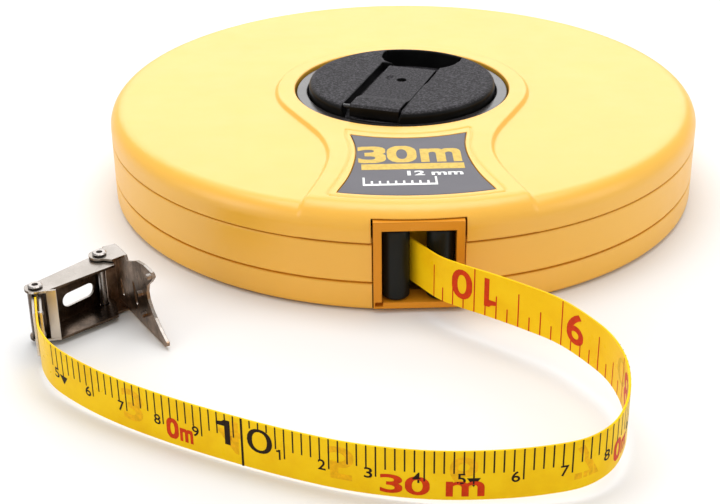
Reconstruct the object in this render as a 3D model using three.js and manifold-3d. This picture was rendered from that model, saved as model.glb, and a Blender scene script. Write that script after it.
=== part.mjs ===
// Surveyor's tape reel: 30 m of fibreglass tape in a closed, flat, round case.
// Millimetres, +Z up. The origin is on the reel axis, at the underside of the case.
// The mouth faces -Y, and the tape is drawn out in front of it.

import * as THREE from "three";
import { mergeVertices } from "three/addons/utils/BufferGeometryUtils.js";
import Module from "manifold-3d";

const wasm = await Module();
wasm.setup();

// ---------------------------------------------------------------- driving dimensions

const GAP = 0.3; // clearance between neighbouring pieces

const CASE_RADIUS = 86;
const CASE_HEIGHT = 27;
const CASE_WALL = 2.2;
const CASE_ROOF = 2;
const CASE_FLOOR = 2;
const TOP_EDGE_RADIUS = 5;
const BOTTOM_EDGE_RADIUS = 1.5;
const LOWER_SEAM_Z = 7.8;
const LOWER_SEAM_WIDTH = 0.5;
const UPPER_SEAM_Z = 18.6;
const SLEEVE_THICKNESS = 1.1; // tongue of the centre band inside both covers
const SLEEVE_REACH = 1.5;

const PLATFORM_TOP = 28.2; // raised ring and bridge on the top cover
const PLATFORM_RADIUS = 37.3;
const OPENING_RADIUS = 31.7;

const FRAME_HALF_WIDTH = 11.4;
const FRAME_BOTTOM = 0.9;
const FRAME_TOP = 25;
const FRAME_BACK_Y = -78.9;
const MOUTH_HALF_WIDTH = 9.3;
const MOUTH_BOTTOM = 2.6;
const MOUTH_TOP = 22.6;

const ROLLER_RADIUS = 3.5;
const ROLLER_X = 5.6;
const ROLLER_Y = -82.2;
const ROLLER_PIN_RADIUS = 1;

const TAPE_WIDTH = 12;
const TAPE_THICKNESS = 0.5;
const PACK_BOTTOM = 6.6;
const PACK_RADIUS = 73.5;
const DRUM_RADIUS = 37;
const FLANGE_RADIUS = 76;
const FLANGE_THICKNESS = 1.2;
const COLLAR_RADIUS = 31.3;
const COLLAR_TOP = 27.3;
const COLLAR_BORE = 27.9;

const DISC_RADIUS = 27.5;
const DISC_BOTTOM = 23.3;
const DISC_TOP = 30.4;
const CRANK_ANGLE = -20.3; // of the lever's free end from +Y, seen from above
const CHANNEL_LEFT = -10;
const CHANNEL_RIGHT = 7.7;
const CHANNEL_FLOOR = 27.3;
const LEVER_HALF_WIDTH = 7.3;
const LEVER_BOTTOM = 27.6;
const LEVER_TOP = 30;
const LEVER_END = 11.5;
const LEVER_HINGE_END = -26.2;
const HINGE_Y = -23.5; // along the lever, from the disc's centre
const HINGE_Z = 29.5;
const HINGE_PIN_RADIUS = 1;
const HINGE_BORE_RADIUS = HINGE_PIN_RADIUS + GAP;

const KNOB_RADIUS = 7;
const KNOB_TOP = 27.2;
const KNOB_BOTTOM = 12.9;

const SCREW_CIRCLE = 79.2;
const SCREW_COUNT = 5;

const HOOK_SHEET = 0.6; // sheet metal of the hook
const LOWER_EAR_BOTTOM = 0.1;
const LINK_BOTTOM = 1;
const LINK_TOP = 14.8;
const UPPER_EAR_BOTTOM = 15.1;
const LINK_PIVOT = [-93.2, -96];
const CLAW_PIVOT = [-79.7, -81.2];
const PIVOT_PIN_RADIUS = 1;

const CIRCLE_STEPS = 48; // of the case
const REEL_STEPS = 40; // of the reel inside it
const BOSS_STEPS = 12; // of screw bosses and their holes

// ---------------------------------------------------------------- materials

function material(colour, roughness, metalness = 0) {
  return new THREE.MeshStandardMaterial({ color: colour, roughness, metalness });
}

const caseYellow = material(0xf0b83c, 0.42);
const labelGrey = material(0x8c848c, 0.5);
const reelGrey = material(0x9a98a0, 0.5);
const crankBlack = material(0x2b2a2d, 0.65);
const rollerBlack = material(0x151515, 0.5);
const tapeYellow = material(0xe8c21c, 0.3);
const steel = material(0xb8b4ae, 0.28, 1);
const hookSteel = material(0xa79a8c, 0.25, 1);
const zincSteel = material(0xc3c5c7, 0.35, 1);
const bushWhite = material(0xe6e3da, 0.5);

// ---------------------------------------------------------------- solid helpers

// Closed solid made of a three.js geometry.
function solid(geometry) {
  const bare = geometry.index ? geometry.toNonIndexed() : geometry.clone();
  bare.deleteAttribute("normal");
  bare.deleteAttribute("uv");
  const welded = mergeVertices(bare, 1e-4);
  const mesh = new wasm.Mesh({
    numProp: 3,
    vertProperties: new Float32Array(welded.attributes.position.array),
    triVerts: new Uint32Array(welded.index.array),
  });
  return new wasm.Manifold(mesh);
}

function union(pieces) {
  return pieces.reduce((whole, piece) => whole.add(piece));
}

// Upright cylinder between two heights.
function post(radius, bottom, top, x = 0, y = 0, steps = 24) {
  const geometry = new THREE.CylinderGeometry(radius, radius, top - bottom, steps);
  geometry.rotateX(Math.PI / 2);
  geometry.translate(x, y, (bottom + top) / 2);
  return solid(geometry);
}

// Axis-parallel box between two corners.
function block(low, high) {
  const size = high.map((value, axis) => value - low[axis]);
  const geometry = new THREE.BoxGeometry(...size);
  geometry.translate(...low.map((value, axis) => value + size[axis] / 2));
  return solid(geometry);
}

// Solid of revolution round the Z axis, from a closed [radius, height] profile.
function turned(profile, steps = CIRCLE_STEPS) {
  const points = [...profile, profile[0]].map(([radius, height]) => new THREE.Vector2(radius, height));
  const geometry = new THREE.LatheGeometry(points, steps);
  geometry.rotateX(Math.PI / 2);
  return solid(geometry);
}

// Upright plate between two heights, from a plan outline.
function plate(outline, bottom, top) {
  const shape = new THREE.Shape(outline.map(([x, y]) => new THREE.Vector2(x, y)));
  const geometry = new THREE.ExtrudeGeometry(shape, { depth: top - bottom, bevelEnabled: false });
  geometry.translate(0, 0, bottom);
  return solid(geometry);
}

// Points of an arc, angles in degrees from +X.
function arc(x, y, radius, from, to, steps) {
  const points = [];
  for (let step = 0; step <= steps; step += 1) {
    const angle = THREE.MathUtils.degToRad(from + ((to - from) * step) / steps);
    points.push([x + radius * Math.cos(angle), y + radius * Math.sin(angle)]);
  }
  return points;
}

const group = new THREE.Group();
group.name = "surveyor_tape_reel";

// Adds a finished solid to the assembly under its own name.
function addPiece(name, body, surface) {
  const data = body.getMesh();
  const geometry = new THREE.BufferGeometry();
  geometry.setAttribute("position", new THREE.BufferAttribute(new Float32Array(data.vertProperties), 3));
  geometry.setIndex(new THREE.BufferAttribute(new Uint32Array(data.triVerts), 1));
  geometry.computeVertexNormals();
  const mesh = new THREE.Mesh(geometry, surface);
  mesh.name = name;
  group.add(mesh);
}

// ---------------------------------------------------------------- case

const innerRadius = CASE_RADIUS - CASE_WALL;
const coverBottom = UPPER_SEAM_Z + GAP / 2;
const bandTop = UPPER_SEAM_Z - GAP / 2;
const bandBottom = LOWER_SEAM_Z + LOWER_SEAM_WIDTH / 2;
const lowerCoverTop = LOWER_SEAM_Z - LOWER_SEAM_WIDTH / 2;

function screwPlace(index) {
  const angle = THREE.MathUtils.degToRad(90 + (360 / SCREW_COUNT) * index);
  return [SCREW_CIRCLE * Math.cos(angle), SCREW_CIRCLE * Math.sin(angle)];
}

// Room for the mouth frame in the rim, a little wider where the slits show.
function frameRoom(bottom, top, side) {
  return block([-FRAME_HALF_WIDTH - side, -CASE_RADIUS - 2, bottom], [FRAME_HALF_WIDTH + side, -76, top]);
}

function shellProfile(height, roof) {
  const corner = arc(
    CASE_RADIUS - TOP_EDGE_RADIUS,
    height - TOP_EDGE_RADIUS,
    TOP_EDGE_RADIUS,
    0,
    90,
    4,
  );
  const inner = arc(innerRadius - 3, CASE_HEIGHT - roof - 3, 3, 90, 0, 1);
  return [
    [CASE_RADIUS, coverBottom],
    ...corner,
    [25, height],
    [25, CASE_HEIGHT - roof],
    ...inner,
    [innerRadius, coverBottom],
  ];
}

// Ring round the crank and the flared bridge that runs from it to the mouth.
function platformOutline() {
  const ring = arc(0, 0, PLATFORM_RADIUS, -35, 215, 32);
  const leftSide = [
    [-27.2, -30],
    [-24, -36.5],
    [-22.4, -44],
    [-22.2, -51],
    [-23.4, -60],
    [-26, -70],
    [-29.8, -80],
    [-31.6, -84],
  ];
  const rightSide = leftSide.map(([x, y]) => [-x, y]).reverse();
  return [...ring, ...leftSide, [-30, -88], [30, -88], ...rightSide];
}

// Outline of the label: arcs round the reel axis above and below, hollow sides.
function labelOutline(margin) {
  const topHalf = 23.1 + 2 * margin;
  const bottomHalf = 15 + margin;
  const top = arc(0, 0, 40.2 - margin, -90 - topHalf, -90 + topHalf, 8);
  const bottom = arc(0, 0, 77 + margin, -90 + bottomHalf, -90 - bottomHalf, 8);
  const rightSide = [
    [14.8 + margin, -43.5],
    [14.6 + margin, -49.5],
    [15.3 + margin, -57],
    [17 + margin, -65.5],
  ];
  const leftSide = rightSide.map(([x, y]) => [-x, y]).reverse();
  return [...top, ...rightSide, ...bottom, ...leftSide];
}

function topCover() {
  const shell = turned(shellProfile(CASE_HEIGHT, CASE_ROOF));
  const raised = turned([
    [CASE_RADIUS, coverBottom + 2],
    ...arc(CASE_RADIUS - 6.2, PLATFORM_TOP - 6.2, 6.2, 0, 90, 4),
    [25, PLATFORM_TOP],
    [25, 25.5],
    [81, 25.5],
    [84.5, coverBottom + 2],
  ]);
  const platform = plate(platformOutline(), 20, 30).intersect(raised);
  const rib = turned([
    [60, CASE_HEIGHT - CASE_ROOF + 0.5],
    [60, 20.7],
    [61.5, 20.7],
    [61.5, CASE_HEIGHT - CASE_ROOF + 0.5],
  ]);
  let cover = union([shell, platform, rib]);
  for (let index = 0; index < SCREW_COUNT; index += 1) {
    const [x, y] = screwPlace(index);
    cover = cover.add(post(2.7, 8.6, CASE_HEIGHT - CASE_ROOF + 0.5, x, y, BOSS_STEPS));
    cover = cover.subtract(post(1.5, 8, 17, x, y, BOSS_STEPS));
  }
  cover = cover.subtract(post(OPENING_RADIUS, 20, 30, 0, 0, CIRCLE_STEPS));
  cover = cover.subtract(frameRoom(15, FRAME_TOP + GAP, 0.5));
  return cover.subtract(plate(labelOutline(GAP), 27.4, 30));
}

function centreBand() {
  const band = turned([
    [CASE_RADIUS, bandBottom],
    [CASE_RADIUS, bandTop],
    [innerRadius - GAP, bandTop],
    [innerRadius - GAP, bandTop + SLEEVE_REACH],
    [innerRadius - GAP - SLEEVE_THICKNESS, bandTop + SLEEVE_REACH],
    [innerRadius - GAP - SLEEVE_THICKNESS, bandBottom - SLEEVE_REACH],
    [innerRadius - GAP, bandBottom - SLEEVE_REACH],
    [innerRadius - GAP, bandBottom],
  ]);
  return band.subtract(frameRoom(0, CASE_HEIGHT, GAP));
}

function bottomCover() {
  const corner = arc(
    CASE_RADIUS - BOTTOM_EDGE_RADIUS,
    BOTTOM_EDGE_RADIUS,
    BOTTOM_EDGE_RADIUS,
    -90,
    0,
    2,
  );
  const shell = turned([
    [4.3, 0],
    ...corner,
    [CASE_RADIUS, lowerCoverTop],
    [innerRadius, lowerCoverTop],
    [innerRadius, CASE_FLOOR],
    [61.5, CASE_FLOOR],
    [61.5, 4.6],
    [60, 4.6],
    [60, CASE_FLOOR],
    [11, CASE_FLOOR],
    [11, 4.2],
    [4.3, 4.2],
  ]);
  let cover = shell;
  for (let index = 0; index < SCREW_COUNT; index += 1) {
    const [x, y] = screwPlace(index);
    cover = cover.add(post(3.4, CASE_FLOOR - 0.5, 3.4, x, y, BOSS_STEPS));
    cover = cover.add(post(2.5, 3, 8.2, x, y, BOSS_STEPS));
    cover = cover.subtract(post(1.5, -1, 9, x, y, BOSS_STEPS));
    cover = cover.subtract(post(2.7, -1, 1.8, x, y, BOSS_STEPS));
  }
  cover = cover.subtract(post(7.3, -1, 1.8, 0, 0, 32));
  return cover.subtract(frameRoom(FRAME_BOTTOM - GAP, 12, GAP));
}

addPiece("case_bottom_cover", bottomCover(), caseYellow);
addPiece("case_center_band", centreBand(), caseYellow);
addPiece("case_top_cover", topCover(), caseYellow);

// Countersunk-looking pan screw with a slot, pointing up from the underside.
function caseScrew(x, y) {
  const screw = turned(
    [
      [0, 0.4],
      [1.8, 0.4],
      [2.4, 0.8],
      [2.4, 1.5],
      [1.2, 1.5],
      [1.2, 15],
      [0.8, 15.6],
      [0, 15.6],
    ],
    16,
  ).translate([x, y, 0]);
  return screw.subtract(block([x - 1.5, y - 0.25, 0], [x + 1.5, y + 0.25, 0.9]));
}

for (let index = 0; index < SCREW_COUNT; index += 1) {
  const [x, y] = screwPlace(index);
  addPiece(`case_screw_${index + 1}`, caseScrew(x, y), zincSteel);
}

addPiece("label_plate", plate(labelOutline(0), 27.7, 28.15), labelGrey);

// ---------------------------------------------------------------- mouth

function mouthFrame() {
  let frame = block(
    [-FRAME_HALF_WIDTH, -CASE_RADIUS, FRAME_BOTTOM],
    [FRAME_HALF_WIDTH, FRAME_BACK_Y, FRAME_TOP],
  );
  for (const side of [-1, 1]) {
    const reach = [side * FRAME_HALF_WIDTH, side * (FRAME_HALF_WIDTH + 2.1)];
    frame = frame.add(
      block([Math.min(...reach) - 0.1, -80.9, 9], [Math.max(...reach) + 0.1, FRAME_BACK_Y, 17]),
    );
  }
  frame = frame.subtract(
    block(
      [-MOUTH_HALF_WIDTH, -CASE_RADIUS - 1, MOUTH_BOTTOM],
      [MOUTH_HALF_WIDTH, FRAME_BACK_Y + 1, MOUTH_TOP],
    ),
  );
  for (const side of [-1, 1]) {
    frame = frame.subtract(post(ROLLER_PIN_RADIUS + GAP, 1.4, 24.1, side * ROLLER_X, ROLLER_Y, 16));
  }
  return frame.subtract(block([-11, -CASE_RADIUS - 1, 1.5], [-9, -84, 2.7]));
}

function guideRoller(side) {
  const bore = ROLLER_PIN_RADIUS + GAP;
  const bottom = MOUTH_BOTTOM + GAP;
  const top = MOUTH_TOP - GAP;
  return turned(
    [
      [bore, bottom],
      [ROLLER_RADIUS - 0.4, bottom],
      [ROLLER_RADIUS, bottom + 0.5],
      [ROLLER_RADIUS, top - 0.5],
      [ROLLER_RADIUS - 0.4, top],
      [bore, top],
    ],
    24,
  ).translate([side * ROLLER_X, ROLLER_Y, 0]);
}

addPiece("mouth_frame", mouthFrame(), caseYellow);
for (const [name, side] of [["left", -1], ["right", 1]]) {
  addPiece(`${name}_guide_roller`, guideRoller(side), rollerBlack);
  const pin = post(ROLLER_PIN_RADIUS, 1.7, 23.8, side * ROLLER_X, ROLLER_Y, 16);
  addPiece(`${name}_roller_pin`, pin, steel);
}

// ---------------------------------------------------------------- reel

const flangeBottom = 5;
const packTop = PACK_BOTTOM + TAPE_WIDTH;
const upperFlangeBottom = packTop + 0.4;

addPiece(
  "spindle",
  turned(
    [
      [0, GAP],
      [7, GAP],
      [7, 1.5],
      [4, 1.5],
      [4, 9.6],
      [1.3, 9.6],
      [1.3, 5],
      [0, 5],
    ],
    32,
  ),
  steel,
);
addPiece(
  "spindle_bush",
  turned(
    [
      [4.3, 4.5],
      [6, 4.5],
      [6, 9.2],
      [4.3, 9.2],
    ],
    32,
  ),
  bushWhite,
);
addPiece(
  "spindle_washer",
  turned(
    [
      [1.4, 9.9],
      [7, 9.9],
      [7, 10.5],
      [1.4, 10.5],
    ],
    32,
  ),
  zincSteel,
);
addPiece(
  "spindle_screw",
  turned(
    [
      [0, 5.4],
      [1, 5.4],
      [1, 10.8],
      [2.8, 10.8],
      [2.8, 11.6],
      [2, 12.1],
      [0, 12.1],
    ],
    24,
  ),
  zincSteel,
);

addPiece(
  "spool_hub",
  turned(
    [
      [6.3, PACK_BOTTOM],
      [DRUM_RADIUS, PACK_BOTTOM],
      [DRUM_RADIUS, packTop],
      [COLLAR_RADIUS, packTop],
      [COLLAR_RADIUS, COLLAR_TOP - 0.3],
      [COLLAR_RADIUS - 0.3, COLLAR_TOP],
      [COLLAR_BORE, COLLAR_TOP],
      [COLLAR_BORE, 23],
      [18.5, 23],
      [18.5, 21],
      [COLLAR_BORE, 21],
      [34.8, 16.6],
      [34.8, 8.8],
      [6.3, 8.8],
    ],
    REEL_STEPS,
  ).subtract(discScrewHoles(1.3, 20, 24)),
  reelGrey,
);
addPiece(
  "spool_lower_flange",
  turned(
    [
      [6.4, flangeBottom],
      [FLANGE_RADIUS, flangeBottom],
      [FLANGE_RADIUS, flangeBottom + FLANGE_THICKNESS],
      [6.4, flangeBottom + FLANGE_THICKNESS],
    ],
    REEL_STEPS,
  ),
  reelGrey,
);
addPiece(
  "spool_upper_flange",
  turned(
    [
      [COLLAR_RADIUS + GAP, upperFlangeBottom],
      [FLANGE_RADIUS, upperFlangeBottom],
      [FLANGE_RADIUS, upperFlangeBottom + FLANGE_THICKNESS],
      [COLLAR_RADIUS + GAP, upperFlangeBottom + FLANGE_THICKNESS],
    ],
    REEL_STEPS,
  ),
  reelGrey,
);
addPiece(
  "wound_tape",
  turned(
    [
      [DRUM_RADIUS + GAP, PACK_BOTTOM],
      [PACK_RADIUS, PACK_BOTTOM],
      [PACK_RADIUS, packTop],
      [DRUM_RADIUS + GAP, packTop],
    ],
    REEL_STEPS,
  ),
  tapeYellow,
);

// ---------------------------------------------------------------- crank

// The crank is drawn with the lever's free end towards +Y, then turned to its rest angle.
function crankTurned(body) {
  return body.rotate([0, 0, CRANK_ANGLE]);
}

function discScrewPlaces() {
  return [[-18.5, -11], [18.5, -11], [-18.5, 11], [18.5, 11]];
}

function discScrewHoles(radius, bottom, top) {
  const holes = discScrewPlaces().map(([x, y]) => post(radius, bottom, top, x, y, BOSS_STEPS));
  return crankTurned(union(holes));
}

// Cylinder that lies along X at the lever's hinge.
function hingeCylinder(radius, left, right, steps = 16) {
  const geometry = new THREE.CylinderGeometry(radius, radius, right - left, steps);
  geometry.rotateZ(Math.PI / 2);
  geometry.translate((left + right) / 2, HINGE_Y, HINGE_Z);
  return solid(geometry);
}

function crankDisc() {
  let disc = turned([
    [0, DISC_BOTTOM],
    [DISC_RADIUS, DISC_BOTTOM],
    [DISC_RADIUS, DISC_TOP - 1.2],
    [DISC_RADIUS - 0.35, DISC_TOP - 0.4],
    [DISC_RADIUS - 1.2, DISC_TOP],
    [0, DISC_TOP],
  ]);
  const channel = block([CHANNEL_LEFT, -30, CHANNEL_FLOOR], [CHANNEL_RIGHT, LEVER_END + 1, 33]);
  const hingeRoom = hingeCylinder(3.7, CHANNEL_LEFT, CHANNEL_RIGHT, 24);
  const pocket = plate(
    [
      [-11.8, 30],
      [-12.2, 21],
      [-9.5, 16.2],
      [-4.5, 14.2],
      [0, 11.2],
      [4.5, 10.8],
      [9.5, 13.6],
      [12.2, 19],
      [12.4, 30],
    ],
    24.9,
    33,
  ).intersect(post(DISC_RADIUS - 1.4, 20, 34, 0, 0, CIRCLE_STEPS));
  const knobRoom = plate(
    [...arc(0, -0.2, 8.3, 180, 360, 12), [8.3, 12.5], [-8.3, 12.5]],
    20,
    33,
  );
  disc = disc.subtract(channel).subtract(hingeRoom).subtract(pocket).subtract(knobRoom);
  disc = disc.subtract(hingeCylinder(HINGE_BORE_RADIUS, -11.2, 11));
  for (const [x, y] of discScrewPlaces()) {
    disc = disc.subtract(post(1.3, 20, 27.2, x, y, BOSS_STEPS));
  }
  return crankTurned(disc);
}

// Lever in side view, along Y: thicker where it is hinged.
function leverBlank() {
  const side = new THREE.Shape();
  side.moveTo(LEVER_HINGE_END, LEVER_BOTTOM);
  side.lineTo(LEVER_END, LEVER_BOTTOM);
  side.lineTo(LEVER_END, LEVER_TOP - 0.6);
  side.lineTo(LEVER_END - 0.6, LEVER_TOP);
  side.lineTo(-15, LEVER_TOP);
  side.lineTo(-19.5, 31.1);
  side.lineTo(LEVER_HINGE_END + 0.8, 31.1);
  side.lineTo(LEVER_HINGE_END, 30.5);
  const geometry = new THREE.ExtrudeGeometry(side, { depth: 2 * LEVER_HALF_WIDTH, bevelEnabled: false });
  // Side view (y, z) drawn in (x, y): turn it upright and across the lever.
  geometry.rotateX(Math.PI / 2);
  geometry.rotateZ(Math.PI / 2);
  geometry.translate(-LEVER_HALF_WIDTH, 0, 0);
  return solid(geometry);
}

function crankLever() {
  let lever = leverBlank();
  lever = lever.subtract(hingeCylinder(HINGE_BORE_RADIUS, -9, 9));
  lever = lever.subtract(post(1.9, 27, 29.2, 0, 0, 20));
  lever = lever.subtract(post(1.5, 27, 32, 0, 0, 20));
  const dimple = new THREE.SphereGeometry(2.6, 16, 10);
  dimple.scale(0.6, 1, 0.5);
  dimple.translate(-3.9, 0.8, LEVER_TOP + 0.7);
  return crankTurned(lever.subtract(solid(dimple)));
}

addPiece("crank_disc", crankDisc(), crankBlack);
addPiece("crank_lever", crankLever(), crankBlack);
addPiece("lever_hinge_pin", crankTurned(hingeCylinder(HINGE_PIN_RADIUS, -11, 10.8)), steel);

discScrewPlaces().forEach(([x, y], index) => {
  const screw = turned(
    [
      [0, 19.3],
      [2, 19.3],
      [2, 20.7],
      [1, 20.7],
      [1, 26.6],
      [0, 26.9],
    ],
    BOSS_STEPS,
  ).translate([x, y, 0]);
  addPiece(`disc_screw_${index + 1}`, crankTurned(screw), zincSteel);
});

// Knob that hangs under the folded lever, on a rivet with a wide lower head.
addPiece(
  "crank_knob",
  crankTurned(
    turned(
      [
        [1.9, 14.6],
        [3.6, 14.6],
        [3.6, KNOB_BOTTOM],
        [KNOB_RADIUS - 1, KNOB_BOTTOM],
        [KNOB_RADIUS, KNOB_BOTTOM + 3],
        [KNOB_RADIUS, KNOB_TOP - 6],
        [6.4, KNOB_TOP - 1],
        [6, KNOB_TOP],
        [1.9, KNOB_TOP],
      ],
      24,
    ),
  ),
  crankBlack,
);
addPiece(
  "knob_pin",
  crankTurned(
    turned(
      [
        [0, 13.1],
        [3.2, 13.1],
        [3.2, 14.3],
        [1.6, 14.3],
        [1.6, 28.9],
        [0, 28.9],
      ],
      20,
    ),
  ),
  steel,
);

// ---------------------------------------------------------------- drawn-out tape

// Middle line of the tape, from the pack, round the left roller, out and round to the clamp.
const tapeRoute = [
  [-28.3, -68.43, 12.6],
  [-16, -73.52, 12.6],
  [-8, -76.83, 12.5],
  [-4.05, -78.46, 12.4],
  [-2.6, -79.45, 12.4],
  [-2, -80.4, 12.3],
  [0.6, -84.8, 12.3],
  [4.9, -91.6, 12.4],
  [9.6, -96.2, 12.6],
  [15.8, -101.3, 12.8],
  [23.3, -107.9, 13],
  [30.4, -114.9, 13.1],
  [36, -123.2, 12.8],
  [39.6, -130.3, 12.3],
  [41.2, -138, 11.6],
  [41, -145, 10.9],
  [39.2, -152.8, 10.1],
  [35.4, -159.8, 9.3],
  [29.4, -164.2, 8.6],
  [20.2, -165.9, 7.9],
  [8.2, -166, 7.2],
  [-3.7, -164.7, 6.7],
  [-18.2, -161, 6.4],
  [-32.1, -155.3, 6.3],
  [-45.5, -148.6, 6.3],
  [-58.6, -141.2, 6.3],
  [-71.1, -133.1, 6.5],
  [-80, -126, 6.9],
  [-86, -119.8, 7.3],
  [-89.4, -113.6, 7.7],
  [-91.2, -106.6, 7.9],
  [-92.7, -99.4, 7.9],
];
const TAPE_STEPS = 84;

// The tape stands on edge: its plan outline is raised by its width, then follows the route's height.
function outerTape() {
  const curve = new THREE.CatmullRomCurve3(tapeRoute.map(([x, y, z]) => new THREE.Vector3(x, y, z)));
  curve.curveType = "centripetal";
  const middle = curve.getSpacedPoints(TAPE_STEPS);
  const left = [];
  const right = [];
  middle.forEach((point, step) => {
    const along = curve.getTangentAt(step / TAPE_STEPS).setZ(0).normalize();
    const across = new THREE.Vector3(-along.y, along.x, 0).multiplyScalar(TAPE_THICKNESS / 2);
    left.push([point.x + across.x, point.y + across.y]);
    right.push([point.x - across.x, point.y - across.y]);
  });
  const shape = new THREE.Shape([...left, ...right.reverse()].map(([x, y]) => new THREE.Vector2(x, y)));
  const geometry = new THREE.ExtrudeGeometry(shape, { depth: TAPE_WIDTH, bevelEnabled: false });
  const corners = geometry.attributes.position;
  for (let corner = 0; corner < corners.count; corner += 1) {
    const x = corners.getX(corner);
    const y = corners.getY(corner);
    const distances = middle.map((point) => Math.hypot(point.x - x, point.y - y));
    const nearest = middle[distances.indexOf(Math.min(...distances))];
    corners.setZ(corner, corners.getZ(corner) + nearest.z - TAPE_WIDTH / 2);
  }
  return solid(geometry);
}

// ---------------------------------------------------------------- tape clamp

// The clamp lies along the tape's last stretch; u runs from the pivot back along the tape.
const clampDirection = Math.atan2(-99.4 + 106.6, -92.7 + 91.2);

function placedAt([x, y], angle, body) {
  return body.rotate([0, 0, THREE.MathUtils.radToDeg(angle)]).translate([x, y, 0]);
}

// Cylinder across the clamp, used for its rivets and their holes.
function clampCylinder(radius, along, height, halfLength, steps = 12) {
  const geometry = new THREE.CylinderGeometry(radius, radius, 2 * halfLength, steps);
  geometry.translate(along, 0, height);
  return placedAt(LINK_PIVOT, clampDirection, solid(geometry));
}

const clampRivets = [[-6.2, 5], [-6.2, 10.8]];
const clampBottom = 2.1;
const clampTop = 13.7;
const clampSheet = 0.6;
const clampFace = TAPE_THICKNESS / 2 + GAP;

function clampPlate(side, reachToPivot) {
  const near = side * clampFace;
  const far = side * (clampFace + clampSheet);
  return placedAt(
    LINK_PIVOT,
    clampDirection,
    block([-11.4, Math.min(near, far), clampBottom], [reachToPivot, Math.max(near, far), clampTop]),
  );
}

function clampKnuckle() {
  const sleeve = turned(
    [
      [PIVOT_PIN_RADIUS + GAP, clampBottom],
      [2.1, clampBottom],
      [2.1, clampTop],
      [PIVOT_PIN_RADIUS + GAP, clampTop],
    ],
    16,
  );
  return placedAt(LINK_PIVOT, 0, sleeve);
}

function withRivetHoles(body) {
  return clampRivets.reduce(
    (whole, [along, height]) => whole.subtract(clampCylinder(0.9, along, height, 4)),
    body,
  );
}

const pivotRoom = post(PIVOT_PIN_RADIUS + GAP, 0, 20, ...LINK_PIVOT, 16);
addPiece("outer_tape", withRivetHoles(outerTape()), tapeYellow);
addPiece(
  "tape_clamp_outer",
  withRivetHoles(clampPlate(1, -1).add(clampKnuckle()).subtract(pivotRoom)),
  hookSteel,
);
addPiece("tape_clamp_inner", withRivetHoles(clampPlate(-1, -2.6)), hookSteel);
clampRivets.forEach(([along, height], index) => {
  addPiece(`clamp_rivet_${index + 1}`, clampCylinder(0.6, along, height, 1.3), steel);
});

// ---------------------------------------------------------------- hook link

const linkAngle = Math.atan2(CLAW_PIVOT[1] - LINK_PIVOT[1], CLAW_PIVOT[0] - LINK_PIVOT[0]);
const linkLength = Math.hypot(CLAW_PIVOT[0] - LINK_PIVOT[0], CLAW_PIVOT[1] - LINK_PIVOT[1]);
const LINK_BACK = 1.9;
const LIP_START = [0.3, -3.6];
const LIP_END = [2.1, -5.2];

// One flange of the channel, drawn from the left pivot along +X; it flares towards the claw.
function linkFlange(bottom, top, frontStart, frontEnd) {
  const outline = [
    ...arc(0, 0, 2.7, 110, 225, 8),
    frontStart,
    frontEnd,
    ...arc(linkLength, 0, 2.9, -35, 40, 4),
    [linkLength - 2, LINK_BACK],
    [2, LINK_BACK],
  ];
  return plate(outline, bottom, top);
}

// Obround slot through the back of the channel.
function backSlot() {
  const shape = new THREE.Shape();
  shape.absarc(10.2, 6.5, 1.85, Math.PI / 2, Math.PI * 1.5);
  shape.absarc(16.4, 6.5, 1.85, -Math.PI / 2, Math.PI / 2);
  const geometry = new THREE.ExtrudeGeometry(shape, { depth: 4, bevelEnabled: false, curveSegments: 8 });
  geometry.rotateX(Math.PI / 2);
  geometry.translate(0, 4, 0);
  return solid(geometry);
}

// Narrow wall that joins the flanges at the open side, next to the tape.
function linkLip() {
  const [x, y] = LIP_START;
  const turn = Math.atan2(LIP_END[1] - y, LIP_END[0] - x);
  const length = Math.hypot(LIP_END[0] - x, LIP_END[1] - y);
  return placedAt(LIP_START, turn, block([0, 0, LINK_BOTTOM], [length, HOOK_SHEET, LINK_TOP]));
}

function hookLink() {
  const flanges = [
    linkFlange(LINK_BOTTOM, LINK_BOTTOM + HOOK_SHEET, LIP_END, [18.5, -7.3]),
    linkFlange(LINK_TOP - HOOK_SHEET, LINK_TOP, LIP_START, [19.7, -6]),
  ];
  const back = block([3, LINK_BACK - HOOK_SHEET, LINK_BOTTOM], [linkLength + 1, LINK_BACK, LINK_TOP]);
  const lip = linkLip();
  let link = union([...flanges, back, lip]);
  for (const along of [0, linkLength]) {
    link = link.subtract(post(PIVOT_PIN_RADIUS + GAP, 0, 20, along, 0, 16));
  }
  return placedAt(LINK_PIVOT, linkAngle, link.subtract(backSlot()));
}

// Tubular rivet that stands in a pivot.
function pivotPin([x, y], bottom, headBottom) {
  const profile = [
    [0, bottom],
    [PIVOT_PIN_RADIUS, bottom],
    [PIVOT_PIN_RADIUS, headBottom],
    [1.8, headBottom],
    [1.8, headBottom + 0.2],
    [1.5, headBottom + 0.4],
    [0.8, headBottom + 0.4],
    [0.6, headBottom - 0.8],
    [0, headBottom - 0.8],
  ];
  return turned(profile, 16).translate([x, y, 0]);
}

addPiece("hook_link", hookLink(), hookSteel);
addPiece("link_pivot_pin", pivotPin(LINK_PIVOT, LINK_BOTTOM, LINK_TOP + GAP), steel);
addPiece(
  "claw_pivot_pin",
  pivotPin(CLAW_PIVOT, LOWER_EAR_BOTTOM, UPPER_EAR_BOTTOM + HOOK_SHEET + GAP),
  steel,
);

// ---------------------------------------------------------------- claw

const CLAW_HEADING = -59.8; // direction of the claw plate, degrees from +X
const CLAW_ORIGIN = [-71.4, -84.8];
const CLAW_SHEET = 0.8;
const clawTop = UPPER_EAR_BOTTOM + HOOK_SHEET;

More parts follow.
